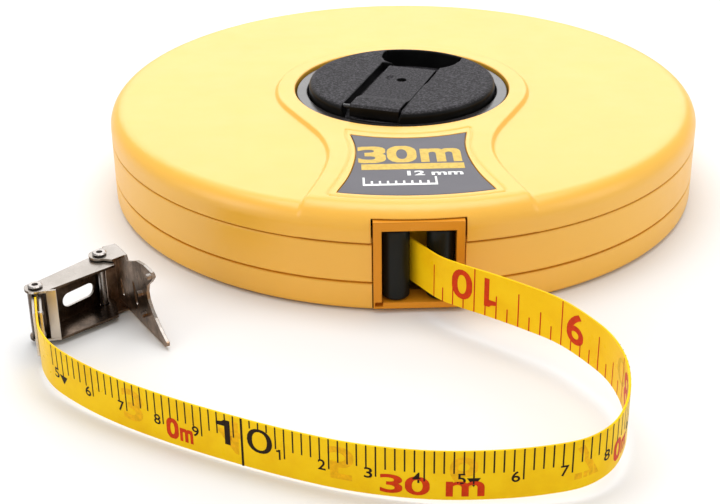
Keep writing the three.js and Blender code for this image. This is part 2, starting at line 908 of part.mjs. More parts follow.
// Side view of the claw plate: u along the plate, height above the base.
const clawSide = [
  [-10, LOWER_EAR_BOTTOM],
  [18.4, LOWER_EAR_BOTTOM],
  [19.4, 0.7],
  [19.5, 1.6],
  [17.6, 2.6],
  [15.4, 4],
  [13.2, 5.5],
  [11.2, 7.3],
  [9.8, 9.2],
  [9.4, 11.2],
  [10.2, 13.4],
  [12.4, 15.2],
  [14, 16.9],
  [13.4, 18.2],
  [8.6, 18.2],
  [4.2, 17.4],
  [0.4, 15.6],
  [-2.6, 14.4],
  [-3.4, clawTop],
  [-10, clawTop],
];

function upright(outline, thickness) {
  const shape = new THREE.Shape(outline.map(([u, z]) => new THREE.Vector2(u, z)));
  const geometry = new THREE.ExtrudeGeometry(shape, { depth: thickness, bevelEnabled: false });
  geometry.rotateX(Math.PI / 2);
  geometry.translate(0, thickness / 2, 0);
  return solid(geometry);
}

function clawSlot(u, z, length, lean) {
  const slot = arc(0, length / 2, 0.6, 0, 180, 5).concat(arc(0, -length / 2, 0.6, 180, 360, 5));
  const turnedSlot = slot.map(([x, y]) => [
    u + x * Math.cos(lean) - y * Math.sin(lean),
    z + x * Math.sin(lean) + y * Math.cos(lean),
  ]);
  return upright(turnedSlot, 4);
}

// Place in plan at a distance along the claw plate from its origin.
function alongClaw(distance) {
  const heading = THREE.MathUtils.degToRad(CLAW_HEADING);
  return [CLAW_ORIGIN[0] + distance * Math.cos(heading), CLAW_ORIGIN[1] + distance * Math.sin(heading)];
}

// Ear from the claw plate's foot to the pivot.
function clawEar(bottom) {
  const [x, y] = CLAW_PIVOT;
  const outline = [
    alongClaw(-10),
    alongClaw(-3.6),
    [x + 3.5, y - 3.1],
    ...arc(x, y, 2.7, -62, -205, 8),
    [x - 0.5, y + 3],
  ];
  return plate(outline, bottom, bottom + HOOK_SHEET);
}

// Wall between the two ears, behind the pivot.
function clawBackWall() {
  const [endX, endY] = alongClaw(-10);
  const start = [CLAW_PIVOT[0] + 0.44, CLAW_PIVOT[1] + 3.49];
  const turn = Math.atan2(endY - start[1], endX - start[0]);
  const length = Math.hypot(endX - start[0], endY - start[1]);
  return placedAt(start, turn, block([0, -0.1, LOWER_EAR_BOTTOM], [length + 0.2, HOOK_SHEET, clawTop]));
}

function hookClaw() {
  let side = upright(clawSide, CLAW_SHEET);
  side = side.subtract(clawSlot(-6.6, 5.2, 3.4, 0.2));
  side = side.subtract(clawSlot(1.8, 7.4, 5, 0.25));
  const pegPlaces = [[12.9, 17.1], [6.2, 9.4], [7.7, 4.2]];
  const pegs = pegPlaces.map(([u, z]) => {
    const geometry = new THREE.CylinderGeometry(0.8, 0.8, 2.2, 12);
    geometry.translate(u, -0.5, z);
    return solid(geometry);
  });
  const standing = placedAt(CLAW_ORIGIN, THREE.MathUtils.degToRad(CLAW_HEADING), union([side, ...pegs]));
  const ears = [clawEar(LOWER_EAR_BOTTOM), clawEar(UPPER_EAR_BOTTOM)];
  const room = post(PIVOT_PIN_RADIUS + GAP, -1, 20, ...CLAW_PIVOT, 16);
  return union([standing, clawBackWall(), ...ears]).subtract(room);
}

addPiece("hook_claw", hookClaw(), hookSteel);

export default group;
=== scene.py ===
"""Looks of the surveyor tape reel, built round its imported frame.

Shapes are worked out in millimetres and become metres when their mesh is made.
"""

import math

import bmesh
import bpy
import numpy as np
from mathutils import Matrix, Vector
from mathutils.geometry import delaunay_2d_cdt


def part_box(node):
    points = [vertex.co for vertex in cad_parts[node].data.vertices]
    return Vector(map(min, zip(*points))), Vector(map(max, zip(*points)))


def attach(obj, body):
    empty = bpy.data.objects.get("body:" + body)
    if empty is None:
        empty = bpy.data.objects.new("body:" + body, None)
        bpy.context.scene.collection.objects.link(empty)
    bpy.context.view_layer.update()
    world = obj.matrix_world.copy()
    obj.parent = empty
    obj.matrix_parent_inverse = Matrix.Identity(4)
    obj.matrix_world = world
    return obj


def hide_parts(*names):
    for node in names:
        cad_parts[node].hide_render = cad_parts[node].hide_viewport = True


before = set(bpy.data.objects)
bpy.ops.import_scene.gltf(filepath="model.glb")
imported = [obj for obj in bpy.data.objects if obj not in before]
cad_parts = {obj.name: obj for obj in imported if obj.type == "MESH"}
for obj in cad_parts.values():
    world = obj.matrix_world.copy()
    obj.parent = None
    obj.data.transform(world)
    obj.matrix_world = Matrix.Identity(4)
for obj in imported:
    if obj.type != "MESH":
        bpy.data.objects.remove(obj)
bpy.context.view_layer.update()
MM = 0.001


def node_box(name):
    """Lowest and highest corners of a CAD node, in millimetres."""
    low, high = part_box(name)
    return low / MM, high / MM


# ---- camera and light

CAMERA_PLACE = Vector((-0.02046, -0.40242, 0.17975))
CAMERA_RIGHT = Vector((0.9996, -0.0253, -0.0116))
CAMERA_UP = Vector((0.0218, 0.4566, 0.8894))
FOCAL_SHARE = 1439.1 / 720  # focal length as a share of the picture's width
SENSOR = 36


def add_object(name, data):
    made = bpy.data.objects.new(name, data)
    bpy.context.scene.collection.objects.link(made)
    return made


def make_camera():
    data = bpy.data.cameras.new("camera")
    data.sensor_width = SENSOR
    data.lens = SENSOR * FOCAL_SHARE
    data.shift_x = -0.0017
    data.clip_start = 0.01
    camera = add_object("camera", data)
    back = CAMERA_RIGHT.cross(CAMERA_UP).normalized()
    up = back.cross(CAMERA_RIGHT).normalized()
    turn = Matrix((CAMERA_RIGHT, up, back)).transposed().to_4x4()
    camera.matrix_world = Matrix.Translation(CAMERA_PLACE) @ turn
    bpy.context.scene.camera = camera


make_camera()


# ---- materials


class Nodes:
    """Short hand for building one material's node tree."""

    def __init__(self, name):
        self.material = bpy.data.materials.new(name)
        self.material.use_nodes = True
        self.tree = self.material.node_tree
        self.shader = self.tree.nodes["Principled BSDF"]
        self.coords = self.tree.nodes.new("ShaderNodeTexCoord")

    def add(self, kind, inputs=None, **settings):
        node = self.tree.nodes.new(kind)
        for key, value in settings.items():
            setattr(node, key, value)
        for key, value in (inputs or {}).items():
            self.feed(node, key, value)
        return node

    def feed(self, node, key, value):
        if isinstance(value, bpy.types.NodeSocket):
            self.tree.links.new(value, node.inputs[key])
        else:
            node.inputs[key].default_value = value

    def set(self, key, value):
        self.feed(self.shader, key, value)

    def noise(self, scale, detail=3.0, roughness=0.5, stretch=(1, 1, 1)):
        mapping = {"Vector": self.coords.outputs["Object"], "Scale": stretch}
        place = self.add("ShaderNodeMapping", mapping).outputs["Vector"]
        inputs = {"Vector": place, "Scale": scale, "Detail": detail, "Roughness": roughness}
        return self.add("ShaderNodeTexNoise", inputs).outputs["Fac"]

    def ramp(self, value, stops):
        ramp = self.add("ShaderNodeValToRGB", {"Fac": value})
        elements = ramp.color_ramp.elements
        while len(elements) < len(stops):
            elements.new(0.5)
        for element, (place, colour) in zip(elements, stops):
            element.position = place
            element.color = (*colour, 1)
        return ramp.outputs["Color"]

    def span(self, value, low, high):
        spread = self.add("ShaderNodeMapRange", {"Value": value, "To Min": low, "To Max": high})
        return spread.outputs["Result"]

    def facing(self, axis, low, high):
        """Goes from nothing to one as a face turns towards an axis."""
        parts = self.add("ShaderNodeSeparateXYZ", {"Vector": self.coords.outputs["Normal"]})
        limits = {"Value": parts.outputs[axis], "From Min": low, "From Max": high}
        return self.add("ShaderNodeMapRange", limits).outputs["Result"]

    def blend(self, share, first, second):
        mixed = self.add("ShaderNodeMix", {"Factor": share}, data_type="RGBA")
        sockets = [socket for socket in mixed.inputs if socket.type == "RGBA"]
        for colour, socket in zip((first, second), sockets):
            self.tree.links.new(colour, socket)
        return next(socket for socket in mixed.outputs if socket.type == "RGBA")

    def bump(self, height, strength, distance, normal=None):
        inputs = {"Height": height, "Strength": strength, "Distance": distance}
        if normal is not None:
            inputs["Normal"] = normal
        return self.add("ShaderNodeBump", inputs).outputs["Normal"]

    def rounded(self, radius):
        """Normals that round off sharp edges, by a radius in metres."""
        return self.add("ShaderNodeBevel", {"Radius": radius}, samples=4).outputs["Normal"]


def grey(value):
    return (value, value, value)


def tint(colour, factor):
    return tuple(min(1.0, channel * factor) for channel in colour)


def moulded_plastic(name, colour, roughness, grain=0.0, spread=0.02, sheen=0.5):
    """Injection-moulded plastic: slight colour drift, fine skin and rubbed gloss."""
    n = Nodes(name)
    n.set("Specular IOR Level", sheen)
    drift = n.noise(38, 4)
    stops = [(0.3, tint(colour, 1 - spread)), (0.7, tint(colour, 1 + spread))]
    n.set("Base Color", n.ramp(drift, stops))
    smudge = n.noise(90, 6, 0.65, (1, 1.6, 1))
    n.set("Roughness", n.span(smudge, roughness - 0.06, roughness + 0.08))
    skin = n.noise(2600, 2)
    normal = n.bump(skin, 0.05 + grain, 0.0002, n.rounded(0.0004))
    scratches = n.noise(700, 2, 0.4, (0.06, 1, 1))
    n.set("Normal", n.bump(scratches, 0.02, 0.0001, normal))
    return n.material


def grained_black(name):
    """Black moulding: a sandy, matt skin on faces that look up, the others polished."""
    n = Nodes(name)
    upward = n.facing("Z", 0.55, 0.95)
    speck = n.noise(1500, 3, 0.75)
    pits, skin, grains = (0.006, 0.005, 0.006), (0.020, 0.018, 0.021), (0.075, 0.07, 0.08)
    sand = n.ramp(speck, [(0.36, pits), (0.5, skin), (0.66, grains)])
    gloss = n.ramp(n.noise(200, 2), [(0.3, grey(0.004)), (0.7, grey(0.007))])
    n.set("Base Color", n.blend(upward, gloss, sand))
    n.set("Roughness", n.span(upward, 0.3, 0.7))
    n.set("Specular IOR Level", n.span(upward, 0.1, 0.22))
    grain = n.span(upward, 0.02, 0.6)
    n.set("Normal", n.bump(speck, grain, 0.0004, n.rounded(0.0005)))
    return n.material


def brushed_metal(name, colour, roughness, stretch):
    """Plated steel with fine drawing lines."""
    n = Nodes(name)
    stops = [(0.35, tint(colour, 0.86)), (0.65, tint(colour, 1.08))]
    n.set("Base Color", n.ramp(n.noise(160, 4), stops))
    n.set("Metallic", 1.0)
    lines = n.noise(2400, 3, 0.5, stretch)
    n.set("Roughness", n.span(lines, roughness - 0.07, roughness + 0.09))
    n.set("Normal", n.bump(lines, 0.10, 0.0001, n.rounded(0.00015)))
    return n.material


HOOK_HIGHLIGHT_FLOOR = 0.0018  # metres over the ground, above which upward faces get a painted highlight


def hook_metal(name, shade):
    """Pressed steel, dark with a tone that varies at random; its upward faces and the faces towards
    the front carry a painted highlight.
    """
    n = Nodes(name)
    worn = n.noise(260, 4, 0.6)
    oil, skin, rub = (0.036, 0.022, 0.013), (0.10, 0.068, 0.046), (0.18, 0.13, 0.095)
    stops = [(0.3, tint(oil, shade)), (0.55, tint(skin, shade)), (0.75, tint(rub, shade))]
    dark = n.ramp(worn, stops)
    cloud = n.noise(180, 3)
    # painted highlight: a lighter colour for faces that look up, high on the hook
    top_highlight_colour = n.ramp(cloud, [(0.3, (0.25, 0.225, 0.2)), (0.7, (0.32, 0.29, 0.265))])
    # painted highlight: a lighter colour still for faces that look towards the front
    edge = n.ramp(cloud, [(0.3, (0.62, 0.56, 0.49)), (0.7, (0.74, 0.67, 0.59))])
    height = n.add("ShaderNodeSeparateXYZ", {"Vector": n.coords.outputs["Object"]}).outputs["Z"]
    above = n.add("ShaderNodeMath", {0: height, 1: HOOK_HIGHLIGHT_FLOOR}, operation="GREATER_THAN").outputs[0]
    front_highlight_mask = n.facing("Y", -0.9, -0.97)
    upward = n.facing("Z", 0.3, 0.8)
    top = n.add("ShaderNodeMath", {0: upward, 1: above}, operation="MULTIPLY").outputs[0]
    # the painted highlights are laid over the dark steel, first on the upper faces, then on the
    # front faces
    n.set("Base Color", n.blend(front_highlight_mask, n.blend(top, dark, top_highlight_colour), edge))
    n.set("Metallic", 1.0)
    lines = n.noise(1600, 3, 0.5, (1, 1, 0.08))
    n.set("Roughness", n.span(lines, 0.2, 0.4))
    n.set("Normal", n.bump(lines, 0.12, 0.0001, n.rounded(0.0002)))
    return n.material


def tape_vinyl(name):
    """Glossy yellow coat over woven glass fibre, with a faint lengthwise weave."""
    n = Nodes(name)
    drift = n.noise(120, 5, 0.6)
    stops = [(0.25, (0.86, 0.49, 0.004)), (0.5, (0.92, 0.57, 0.006)), (0.8, (0.96, 0.63, 0.01))]
    n.set("Base Color", n.ramp(drift, stops))
    n.set("Roughness", n.span(n.noise(300, 4), 0.22, 0.38))
    n.set("Specular IOR Level", 0.07)
    weave = n.noise(1800, 2, 0.5, (1, 1, 2.2))
    n.set("Normal", n.bump(weave, 0.07, 0.0002))
    return n.material


def printed_ink(name, colour):
    n = Nodes(name)
    stops = [(0.3, tint(colour, 0.85)), (0.7, tint(colour, 1.15))]
    n.set("Base Color", n.ramp(n.noise(900, 4, 0.6), stops))
    n.set("Roughness", n.span(n.noise(500, 3), 0.3, 0.45))
    n.set("Specular IOR Level", 0.07)
    return n.material


CASE_YELLOW = moulded_plastic("case_yellow", (0.87, 0.455, 0.034), 0.36, sheen=0.8)
FRAME_YELLOW = moulded_plastic("frame_yellow", (0.72, 0.275, 0.012), 0.42, sheen=0.25)
LABEL_GREY = moulded_plastic("label_grey", (0.095, 0.09, 0.105), 0.5, 0.05, sheen=0.35)
REEL_GREY = moulded_plastic("reel_grey", (0.022, 0.019, 0.019), 0.2, sheen=0.5)
BLACK_GLOSS = moulded_plastic("black_gloss", (0.012, 0.011, 0.012), 0.2, spread=0.2)
BLACK_GRAIN = grained_black("black_grain")
ROLLER_BLACK = moulded_plastic("roller_black", (0.006, 0.007, 0.006), 0.34, spread=0.15, sheen=0.18)
TAPE_YELLOW = tape_vinyl("tape_yellow")
INK_BLACK = printed_ink("ink_black", (0.022, 0.012, 0.007))
INK_RED = printed_ink("ink_red", (0.60, 0.042, 0.005))
GHOST_ORANGE = printed_ink("ghost_orange", (0.84, 0.43, 0.006))
GHOST_BROWN = printed_ink("ghost_brown", (0.74, 0.45, 0.008))
INK_CREAM = printed_ink("ink_cream", (0.64, 0.44, 0.09))
INK_WHITE = printed_ink("ink_white", (0.85, 0.85, 0.84))
STEEL = brushed_metal("steel", (0.36, 0.33, 0.31), 0.26, (1, 1, 0.1))
HOOK_STEEL = hook_metal("hook_steel", 1.0)
CLAW_STEEL = hook_metal("claw_steel", 2.8)
ZINC_STEEL = brushed_metal("zinc_steel", (0.6, 0.61, 0.62), 0.34, (1, 1, 1))
BUSH_WHITE = moulded_plastic("bush_white", (0.80, 0.78, 0.72), 0.45)


# ---- mesh helpers


def sharpen(mesh, angle):
    """Smooth shading, with edges steeper than the angle kept sharp."""
    bm = bmesh.new()
    bm.from_mesh(mesh)
    bmesh.ops.remove_doubles(bm, verts=bm.verts, dist=2e-6)
    bmesh.ops.recalc_face_normals(bm, faces=bm.faces)
    limit = math.radians(angle)
    for face in bm.faces:
        face.smooth = True
    for edge in bm.edges:
        edge.smooth = len(edge.link_faces) == 2 and edge.calc_face_angle(0) < limit
    bm.to_mesh(mesh)
    bm.free()


def make_piece(name, verts, faces, material, body, replaces=(), angle=32):
    """A mesh object from corners in millimetres, riding on a body."""
    mesh = bpy.data.meshes.new(name)
    mesh.from_pydata([Vector(v) * MM for v in verts], [], faces)
    mesh.materials.append(material)
    sharpen(mesh, angle)
    piece = add_object(name, mesh)
    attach(piece, body)
    if replaces:
        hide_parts(*replaces)
    return piece


def arc(centre_x, centre_y, radius, start, end, steps):
    """Points of an arc, angles in degrees from +X."""
    angles = [math.radians(start + (end - start) * step / steps) for step in range(steps + 1)]
    return [(centre_x + radius * math.cos(a), centre_y + radius * math.sin(a)) for a in angles]


def circle_headings(steps):
    return [360 * step / steps for step in range(steps)]


def lathe(profile, headings, centre=(0, 0), keep=None, closed=True):
    """Surface of revolution round an upright axis, from (radius, height) points."""
    verts, faces = [], []
    for heading in headings:
        a = math.radians(heading)
        for r, z in profile:
            verts.append((centre[0] + r * math.cos(a), centre[1] + r * math.sin(a), z))
    rows = len(profile)
    columns = len(headings)
    for column in range(columns):
        following = (column + 1) % columns
        for row in range(rows if closed else rows - 1):
            above = (row + 1) % rows
            here, there = column * rows, following * rows
            if not keep or keep(column, row):
                faces.append((here + row, there + row, there + above, here + above))
    return verts, faces


def loft(rings, size):
    """Faces between closed rings of corners, all of one size."""
    faces = []
    for low in range(0, (rings - 1) * size, size):
        for corner in range(size):
            here, following = low + corner, low + (corner + 1) % size
            faces.append((here, following, following + size, here + size))
    return faces


def join(verts, faces, more_verts, more_faces):
    """Adds a second mesh to the lists of the first."""
    start = len(verts)
    verts += more_verts
    faces += [tuple(start + v for v in face) for face in more_faces]


def directions(points):
    """Direction of an open line at each of its points."""
    befores, afters = [points[0], *points[:-1]], [*points[1:], points[-1]]
    return [after - before for before, after in zip(befores, afters)]


def between(p, q, start, end, k):
    """Point on the line through p at start and q at end."""
    return p * ((end - k) / (end - start)) + q * ((k - start) / (end - start))


def spline(points, spacing):
    """Even points along a centripetal Catmull-Rom curve through the given ones, and its length."""
    ends = [points[0] * 2 - points[1], *points, points[-1] * 2 - points[-2]]
    fine = []
    for p0, p1, p2, p3 in zip(ends, ends[1:], ends[2:], ends[3:]):
        k1 = math.sqrt((p1 - p0).length)
        k2 = k1 + math.sqrt((p2 - p1).length)
        k3 = k2 + math.sqrt((p3 - p2).length)
        for step in range(24):
            k = k1 + (k2 - k1) * step / 24
            a1 = between(p0, p1, 0, k1, k)
            a2 = between(p1, p2, k1, k2, k)
            a3 = between(p2, p3, k2, k3, k)
            b1 = between(a1, a2, 0, k2, k)
            b2 = between(a2, a3, k1, k3, k)
            fine.append(between(b1, b2, k1, k2, k))
    fine.append(points[-1])
    lengths = np.concatenate([[0], np.cumsum([(b - a).length for a, b in zip(fine, fine[1:])])])
    count = max(2, round(lengths[-1] / spacing) + 1)
    wanted = np.linspace(0, lengths[-1], count)
    columns = [np.interp(wanted, lengths, column) for column in zip(*fine)]
    return [Vector(p) for p in zip(*columns)], float(lengths[-1])


# ---- drawn-out tape

# Middle line of the tape, from the pack, round the left roller, out and round to the clamp.
TAPE_ROUTE = [
    (-0.0283, -0.06843, 0.0126), (-0.016, -0.07352, 0.0126), (-0.008, -0.07683, 0.0125),
    (-0.00405, -0.07846, 0.0124), (-0.0026, -0.07945, 0.0124), (-0.002, -0.0804, 0.0123),
    (0.0006, -0.0848, 0.0123), (0.0049, -0.0916, 0.0124), (0.0096, -0.0962, 0.0126),
    (0.0158, -0.1013, 0.0128), (0.0233, -0.1079, 0.013), (0.0304, -0.1149, 0.0131),
    (0.036, -0.1232, 0.0128), (0.0396, -0.1303, 0.0123), (0.0412, -0.138, 0.0116),
    (0.041, -0.145, 0.0109), (0.0392, -0.1528, 0.0101), (0.0354, -0.1598, 0.0093),
    (0.0294, -0.1642, 0.0086), (0.0202, -0.1659, 0.0079), (0.0082, -0.166, 0.0072),
    (-0.0037, -0.1647, 0.0067), (-0.0182, -0.161, 0.0064), (-0.0321, -0.1553, 0.0063),
    (-0.0455, -0.1486, 0.0063), (-0.0586, -0.1412, 0.0063), (-0.0711, -0.1331, 0.0065),
    (-0.08, -0.126, 0.0069), (-0.086, -0.1198, 0.0073), (-0.0894, -0.1136, 0.0077),
    (-0.0912, -0.1066, 0.0079), (-0.0927, -0.0994, 0.0079),
]
TAPE_WIDTH = 12
TAPE_EDGE = TAPE_WIDTH / 2
TAPE_HALF_THICKNESS = 0.25
TAPE_ROUND = 0.12  # height of the rounding at both edges
TAPE_HALF_FLAT = 0.1  # half width of what stays flat on the edge
TAPE_SPACING = 1.2
SCALE_AT_CLAMP = 23.3  # millimetres printed where the tape enters its clamp

tape_middle, tape_length = spline([Vector(p) / MM for p in TAPE_ROUTE], TAPE_SPACING)
tape_step = tape_length / (len(tape_middle) - 1)
# Level unit vectors along the tape at the points of its middle line.
tape_along = [Vector((along.x, along.y, 0)).normalized() for along in directions(tape_middle)]


def on_tape(travel, across, lift):
    """Point on the tape: travel from the pack, height over the middle, distance to its left."""
    place = min(max(travel / tape_step, 0), len(tape_middle) - 1.001)
    index = int(place)
    share = place - index
    middle = tape_middle[index].lerp(tape_middle[index + 1], share)
    along = tape_along[index].lerp(tape_along[index + 1], share).normalized()
    left = Vector((-along.y, along.x, 0))
    return middle + left * lift + Vector((0, 0, across))


def make_tape():
    """The tape on edge, with both edges slightly rounded."""
    side = TAPE_EDGE - TAPE_ROUND
    half = [(-TAPE_HALF_THICKNESS, across) for across in (-side, 0, side)]
    half += [(-TAPE_HALF_FLAT, TAPE_EDGE), (TAPE_HALF_FLAT, TAPE_EDGE)]
    section = half + [(-lift, -across) for lift, across in half]
    size = len(section)
    verts = []
    for index in range(len(tape_middle)):
        verts += [on_tape(index * tape_step, across, lift) for lift, across in section]
    faces = loft(len(tape_middle), size)
    faces.append(tuple(range(size)))
    faces.append(tuple(reversed(range(len(verts) - size, len(verts)))))
    return make_piece("tape", verts, faces, TAPE_YELLOW, "housing", ["outer_tape"], 50)


tape = make_tape()


# ---- print on the tape


def letters(text, bold):
    """Corners and flat faces of a word, in the font's own units."""
    curve = bpy.data.curves.new("text", "FONT")
    curve.body = text
    curve.offset = bold
    curve.resolution_u = 5
    holder = add_object("text", curve)
    bpy.context.view_layer.update()
    evaluated = holder.evaluated_get(bpy.context.evaluated_depsgraph_get())
    mesh = bpy.data.meshes.new_from_object(evaluated)
    corners = [(v.co.x, v.co.y) for v in mesh.vertices]
    faces = [tuple(p.vertices) for p in mesh.polygons]
    bpy.data.objects.remove(holder)
    bpy.data.meshes.remove(mesh)
    bpy.data.curves.remove(curve)
    return corners, faces


BOLD_MARGIN = 0.03  # how far bold strokes may pass the plain word's box


def text_outline(text, width, height, bold):
    """A word stretched to a width and height, measured without its bold strokes."""
    plain, _ = letters(text, 0)
    corners, faces = letters(text, bold)
    columns = []
    for axis, size in ((0, width), (1, height)):
        low = min(corner[axis] for corner in plain)
        high = max(corner[axis] for corner in plain)
        shares = [(corner[axis] - low) / (high - low) for corner in corners]
        columns.append([min(max(s, -BOLD_MARGIN), 1 + BOLD_MARGIN) * size for s in shares])
    return list(zip(*columns)), faces


class Print:
    """Flat artwork in millimetres, gathered before it is laid on a surface."""

    def __init__(self):
        self.verts = []
        self.faces = []

    def polygon(self, points):
        join(self.verts, self.faces, points, [range(len(points))])

    def bar(self, low_x, high_x, low_y, high_y):
        self.polygon([(low_x, low_y), (high_x, low_y), (high_x, high_y), (low_x, high_y)])

    def one(self, x, y, width, height):
        """A figure 1: an upright with a flag, which the font draws too narrow to stretch."""
        stem, flag = width * 0.6, height * 0.74
        outline = [
            (0, flag), (stem, flag), (stem, 0), (width, 0), (width, height), (stem, height),
            (width * 0.4, height * 0.92), (0, height * 0.88),
        ]
        self.polygon([(x + px, y + py) for px, py in outline])

    def text(self, text, x, y, width, height, bold=0.0):
        if text == "1":
            self.one(x, y, width, height)
            return
        corners, faces = text_outline(text, width, height, bold)
        join(self.verts, self.faces, [(x + cx, y + cy) for cx, cy in corners], faces)

    def laid(self, name, lay, material, slot, slice_at=None):
        """The artwork as a thin piece on the housing, each point put in place by lay(x, y)."""
        bm = bmesh.new()
        corners = [bm.verts.new((x, y, 0)) for x, y in self.verts]
        for face in self.faces:
            bm.faces.new([corners[corner] for corner in face])
        if slice_at:
            low = min(x for x, _ in self.verts)
            high = max(x for x, _ in self.verts)
            place = low + slice_at
            while place < high:
                geom = bm.verts[:] + bm.edges[:] + bm.faces[:]
                bmesh.ops.bisect_plane(bm, geom=geom, plane_co=(place, 0, 0), plane_no=(1, 0, 0))
                place += slice_at
        bmesh.ops.triangulate(bm, faces=bm.faces)
        bm.verts.index_update()
        verts = [lay(v.co.x, v.co.y) for v in bm.verts]
        faces = [tuple(v.index for v in face.verts) for face in bm.faces]
        bm.free()
        make_piece(name, verts, faces, material, "housing", angle=60)


TICK_WIDTH = 0.32
INCH_TICK_HALF = 0.17
INCH_MARGIN = 0.15  # bare tape at both edges of the inch side
INK_LIFT = TAPE_HALF_THICKNESS + 0.035
GHOST_LIFT = TAPE_HALF_THICKNESS + 0.02
METRIC_START, METRIC_END = 46, 210
FIGURE_BASE, FIGURE_WIDTH, FIGURE_HEIGHT = -1.9, 1.65, 2.5
FIGURE_BOLD = 0.012


def metric_print():
    """Black marks of the metric side: a tick every 2 mm, numbered every 10 mm."""
    art = Print()
    for scale in range(METRIC_START, METRIC_END, 2):
        whole, half = scale % 100 == 0, scale % 100 == 50
        share = 1.0 if whole else 0.62 if scale % 10 == 0 else 0.45
        if scale % 100 in (2, 4, 6):
            share = 0.16  # short over the large figure
        width = TICK_WIDTH * (1.7 if whole else 1)
        art.bar(scale - width / 2, scale + width / 2, TAPE_EDGE - share * TAPE_WIDTH, TAPE_EDGE)
        number = str((scale // 10) % 10)
        if scale % 10 or whole:
            continue
        if number == "1":
            art.one(scale - 1.9, FIGURE_BASE, 1.0, FIGURE_HEIGHT)
        else:
            left = scale - (3.3 if half else 2.4)
            art.text(number, left, FIGURE_BASE, FIGURE_WIDTH, FIGURE_HEIGHT, FIGURE_BOLD)
        if half:
            art.polygon([(scale - 1.4, -0.5), (scale, -2.7), (scale + 1.4, -0.5)])
    return art


def metric_figures():
    """Large black figures at every hundred millimetres."""
    art = Print()
    art.text("1", 93.8, -1.6, 3.4, 6.1)
    art.text("0", 101.2, -1.6, 6.1, 6.1, -0.005)
    art.text("2", 192.6, -1.6, 5.2, 6.1, -0.005)
    art.text("0", 201.2, -1.6, 6.1, 6.1, -0.005)
    return art


def metric_words():
    """Red marks of the metric side: the metre count before each hundred, and the tape's length."""
    art = Print()
    for hundred in (0, 100):
        art.text("0", 80.9 + hundred, -4.2, 3.0, 4.9, 0.04)
        art.text("m", 84.4 + hundred, -4.2, 3.2, 3.2, 0.04)
    art.text("3", 131, -4.9, 4.4, 4.4, 0.02)
    art.text("0", 136.2, -4.9, 4.8, 4.4, 0.02)
    art.text("m", 144.6, -4.9, 7.4, 3.5, 0.02)
    return art


INCH = 25.4


def inch_print():
    """Red marks of the other side: eighths of an inch, numbered every inch."""
    art = Print()
    shares = {0: 1.0, 4: 0.75, 2: 0.53, 6: 0.53}
    for eighth in range(16, 85):
        scale = eighth * INCH / 8
        share = shares.get(eighth % 8, 0.32)
        end = max(TAPE_EDGE - share * TAPE_WIDTH, INCH_MARGIN - TAPE_EDGE)
        art.bar(scale - INCH_TICK_HALF, scale + INCH_TICK_HALF, end, TAPE_EDGE - INCH_MARGIN)
    return art


def inch_figures():
    """Red figures at every inch, whose 10 has its line between the 1 and the 0."""
    art = Print()
    base, height, bold = -4.4, 7.6, 0.02
    for inch in range(3, 10):
        art.text(str(inch), inch * INCH - 7.1, base, 5.3, height, bold)
    art.text("1", 10 * INCH - 6.4, base, 3.6, height)
    art.text("0", 10 * INCH + 0.8, base, 5.7, height, bold)
    return art


def lay_tape(upright, lift):
    """How print is put on the tape; upright is -1 for print that stands on its head."""

    def lay(scale, height):
        return on_tape(tape_length - (scale - SCALE_AT_CLAMP), height * upright, lift)

    return lay


# The metric side faces away from the case. Each side's large print shows faintly on the other.
PRINTS = [
    ("tape_metric_scale", metric_print(), 1, INK_LIFT, INK_BLACK),
    ("tape_metric_figures", metric_figures(), 1, INK_LIFT, INK_BLACK),
    ("tape_metric_words", metric_words(), 1, INK_LIFT, INK_RED),
    ("tape_inch_scale", inch_print(), -1, -INK_LIFT, INK_RED),
    ("tape_inch_figures", inch_figures(), -1, -INK_LIFT, INK_RED),
    ("tape_ghost_inch", inch_figures(), -1, GHOST_LIFT, GHOST_ORANGE),
    ("tape_ghost_metric", metric_figures(), 1, -GHOST_LIFT, GHOST_BROWN),
]
PRINT_SLICE = 1.3  # print is cut this often so that it follows the tape's bends
for print_name, art, upright, lift, ink in PRINTS:
    art.laid(print_name, lay_tape(upright, lift), ink, "tape_yellow", PRINT_SLICE)


# ---- case

CASE_STEPS = 240
cover_high = node_box("case_top_cover")[1]
frame_high = node_box("mouth_frame")[1]

CASE_R = cover_high.x
PLATFORM_TOP = cover_high.z
ROOF_TOP = PLATFORM_TOP - 1.2
EDGE_R = 5.0
PLATFORM_EDGE_R = 6.2
OPENING_R = 31.7
OPENING_FOOT = 23.6
LIP_R = 0.45
RING_R = 37.3
WALL = 2.0
SEAM_ROUND = 0.25  # how far the rim's edges are broken at the seams
COVER_FOOT = 18.75
BAND_TOP, BAND_FOOT = 18.45, 8.05
PAN_TOP = 7.55


def seam_edge(height, upward):
    """Broken edge of a rim whose wall rises from it, or falls where upward is -1."""
    face = (CASE_R, height + SEAM_ROUND * upward)
    return [face, (CASE_R - SEAM_ROUND, height), (CASE_R - WALL, height)]


def cover_profile():
    """Section of the top cover without its platform, and how far out the flat roof starts."""
    inner = [(OPENING_R, OPENING_FOOT), (OPENING_R, 25.5)]
    lip = arc(OPENING_R + LIP_R, ROOF_TOP - LIP_R, LIP_R, 180, 90, 4)
    shoulder = arc(CASE_R - EDGE_R, ROOF_TOP - EDGE_R, EDGE_R, 90, 0, 12)
    return inner + lip + shoulder + seam_edge(COVER_FOOT, 1), len(inner) + len(lip) - 1


profile, flat_index = cover_profile()
profile_lengths = np.concatenate(
    [[0], np.cumsum([math.dist(a, b) for a, b in zip(profile, profile[1:])])]
)
# Distance along the section, counted so that on the flat roof it is the radius.
profile_lengths += profile[flat_index][0] - profile_lengths[flat_index]
COVER_START, COVER_END = profile_lengths[0], profile_lengths[-1]


def section_radius(distance):
    return float(np.interp(distance, profile_lengths, [p[0] for p in profile]))


def rounded_top(radius, top, edge):
    """Height at a radius of a flat top whose edge at the rim is rounded."""
    past = max(0, radius - (CASE_R - edge))
    return top - edge + math.sqrt(max(0, edge**2 - past**2))


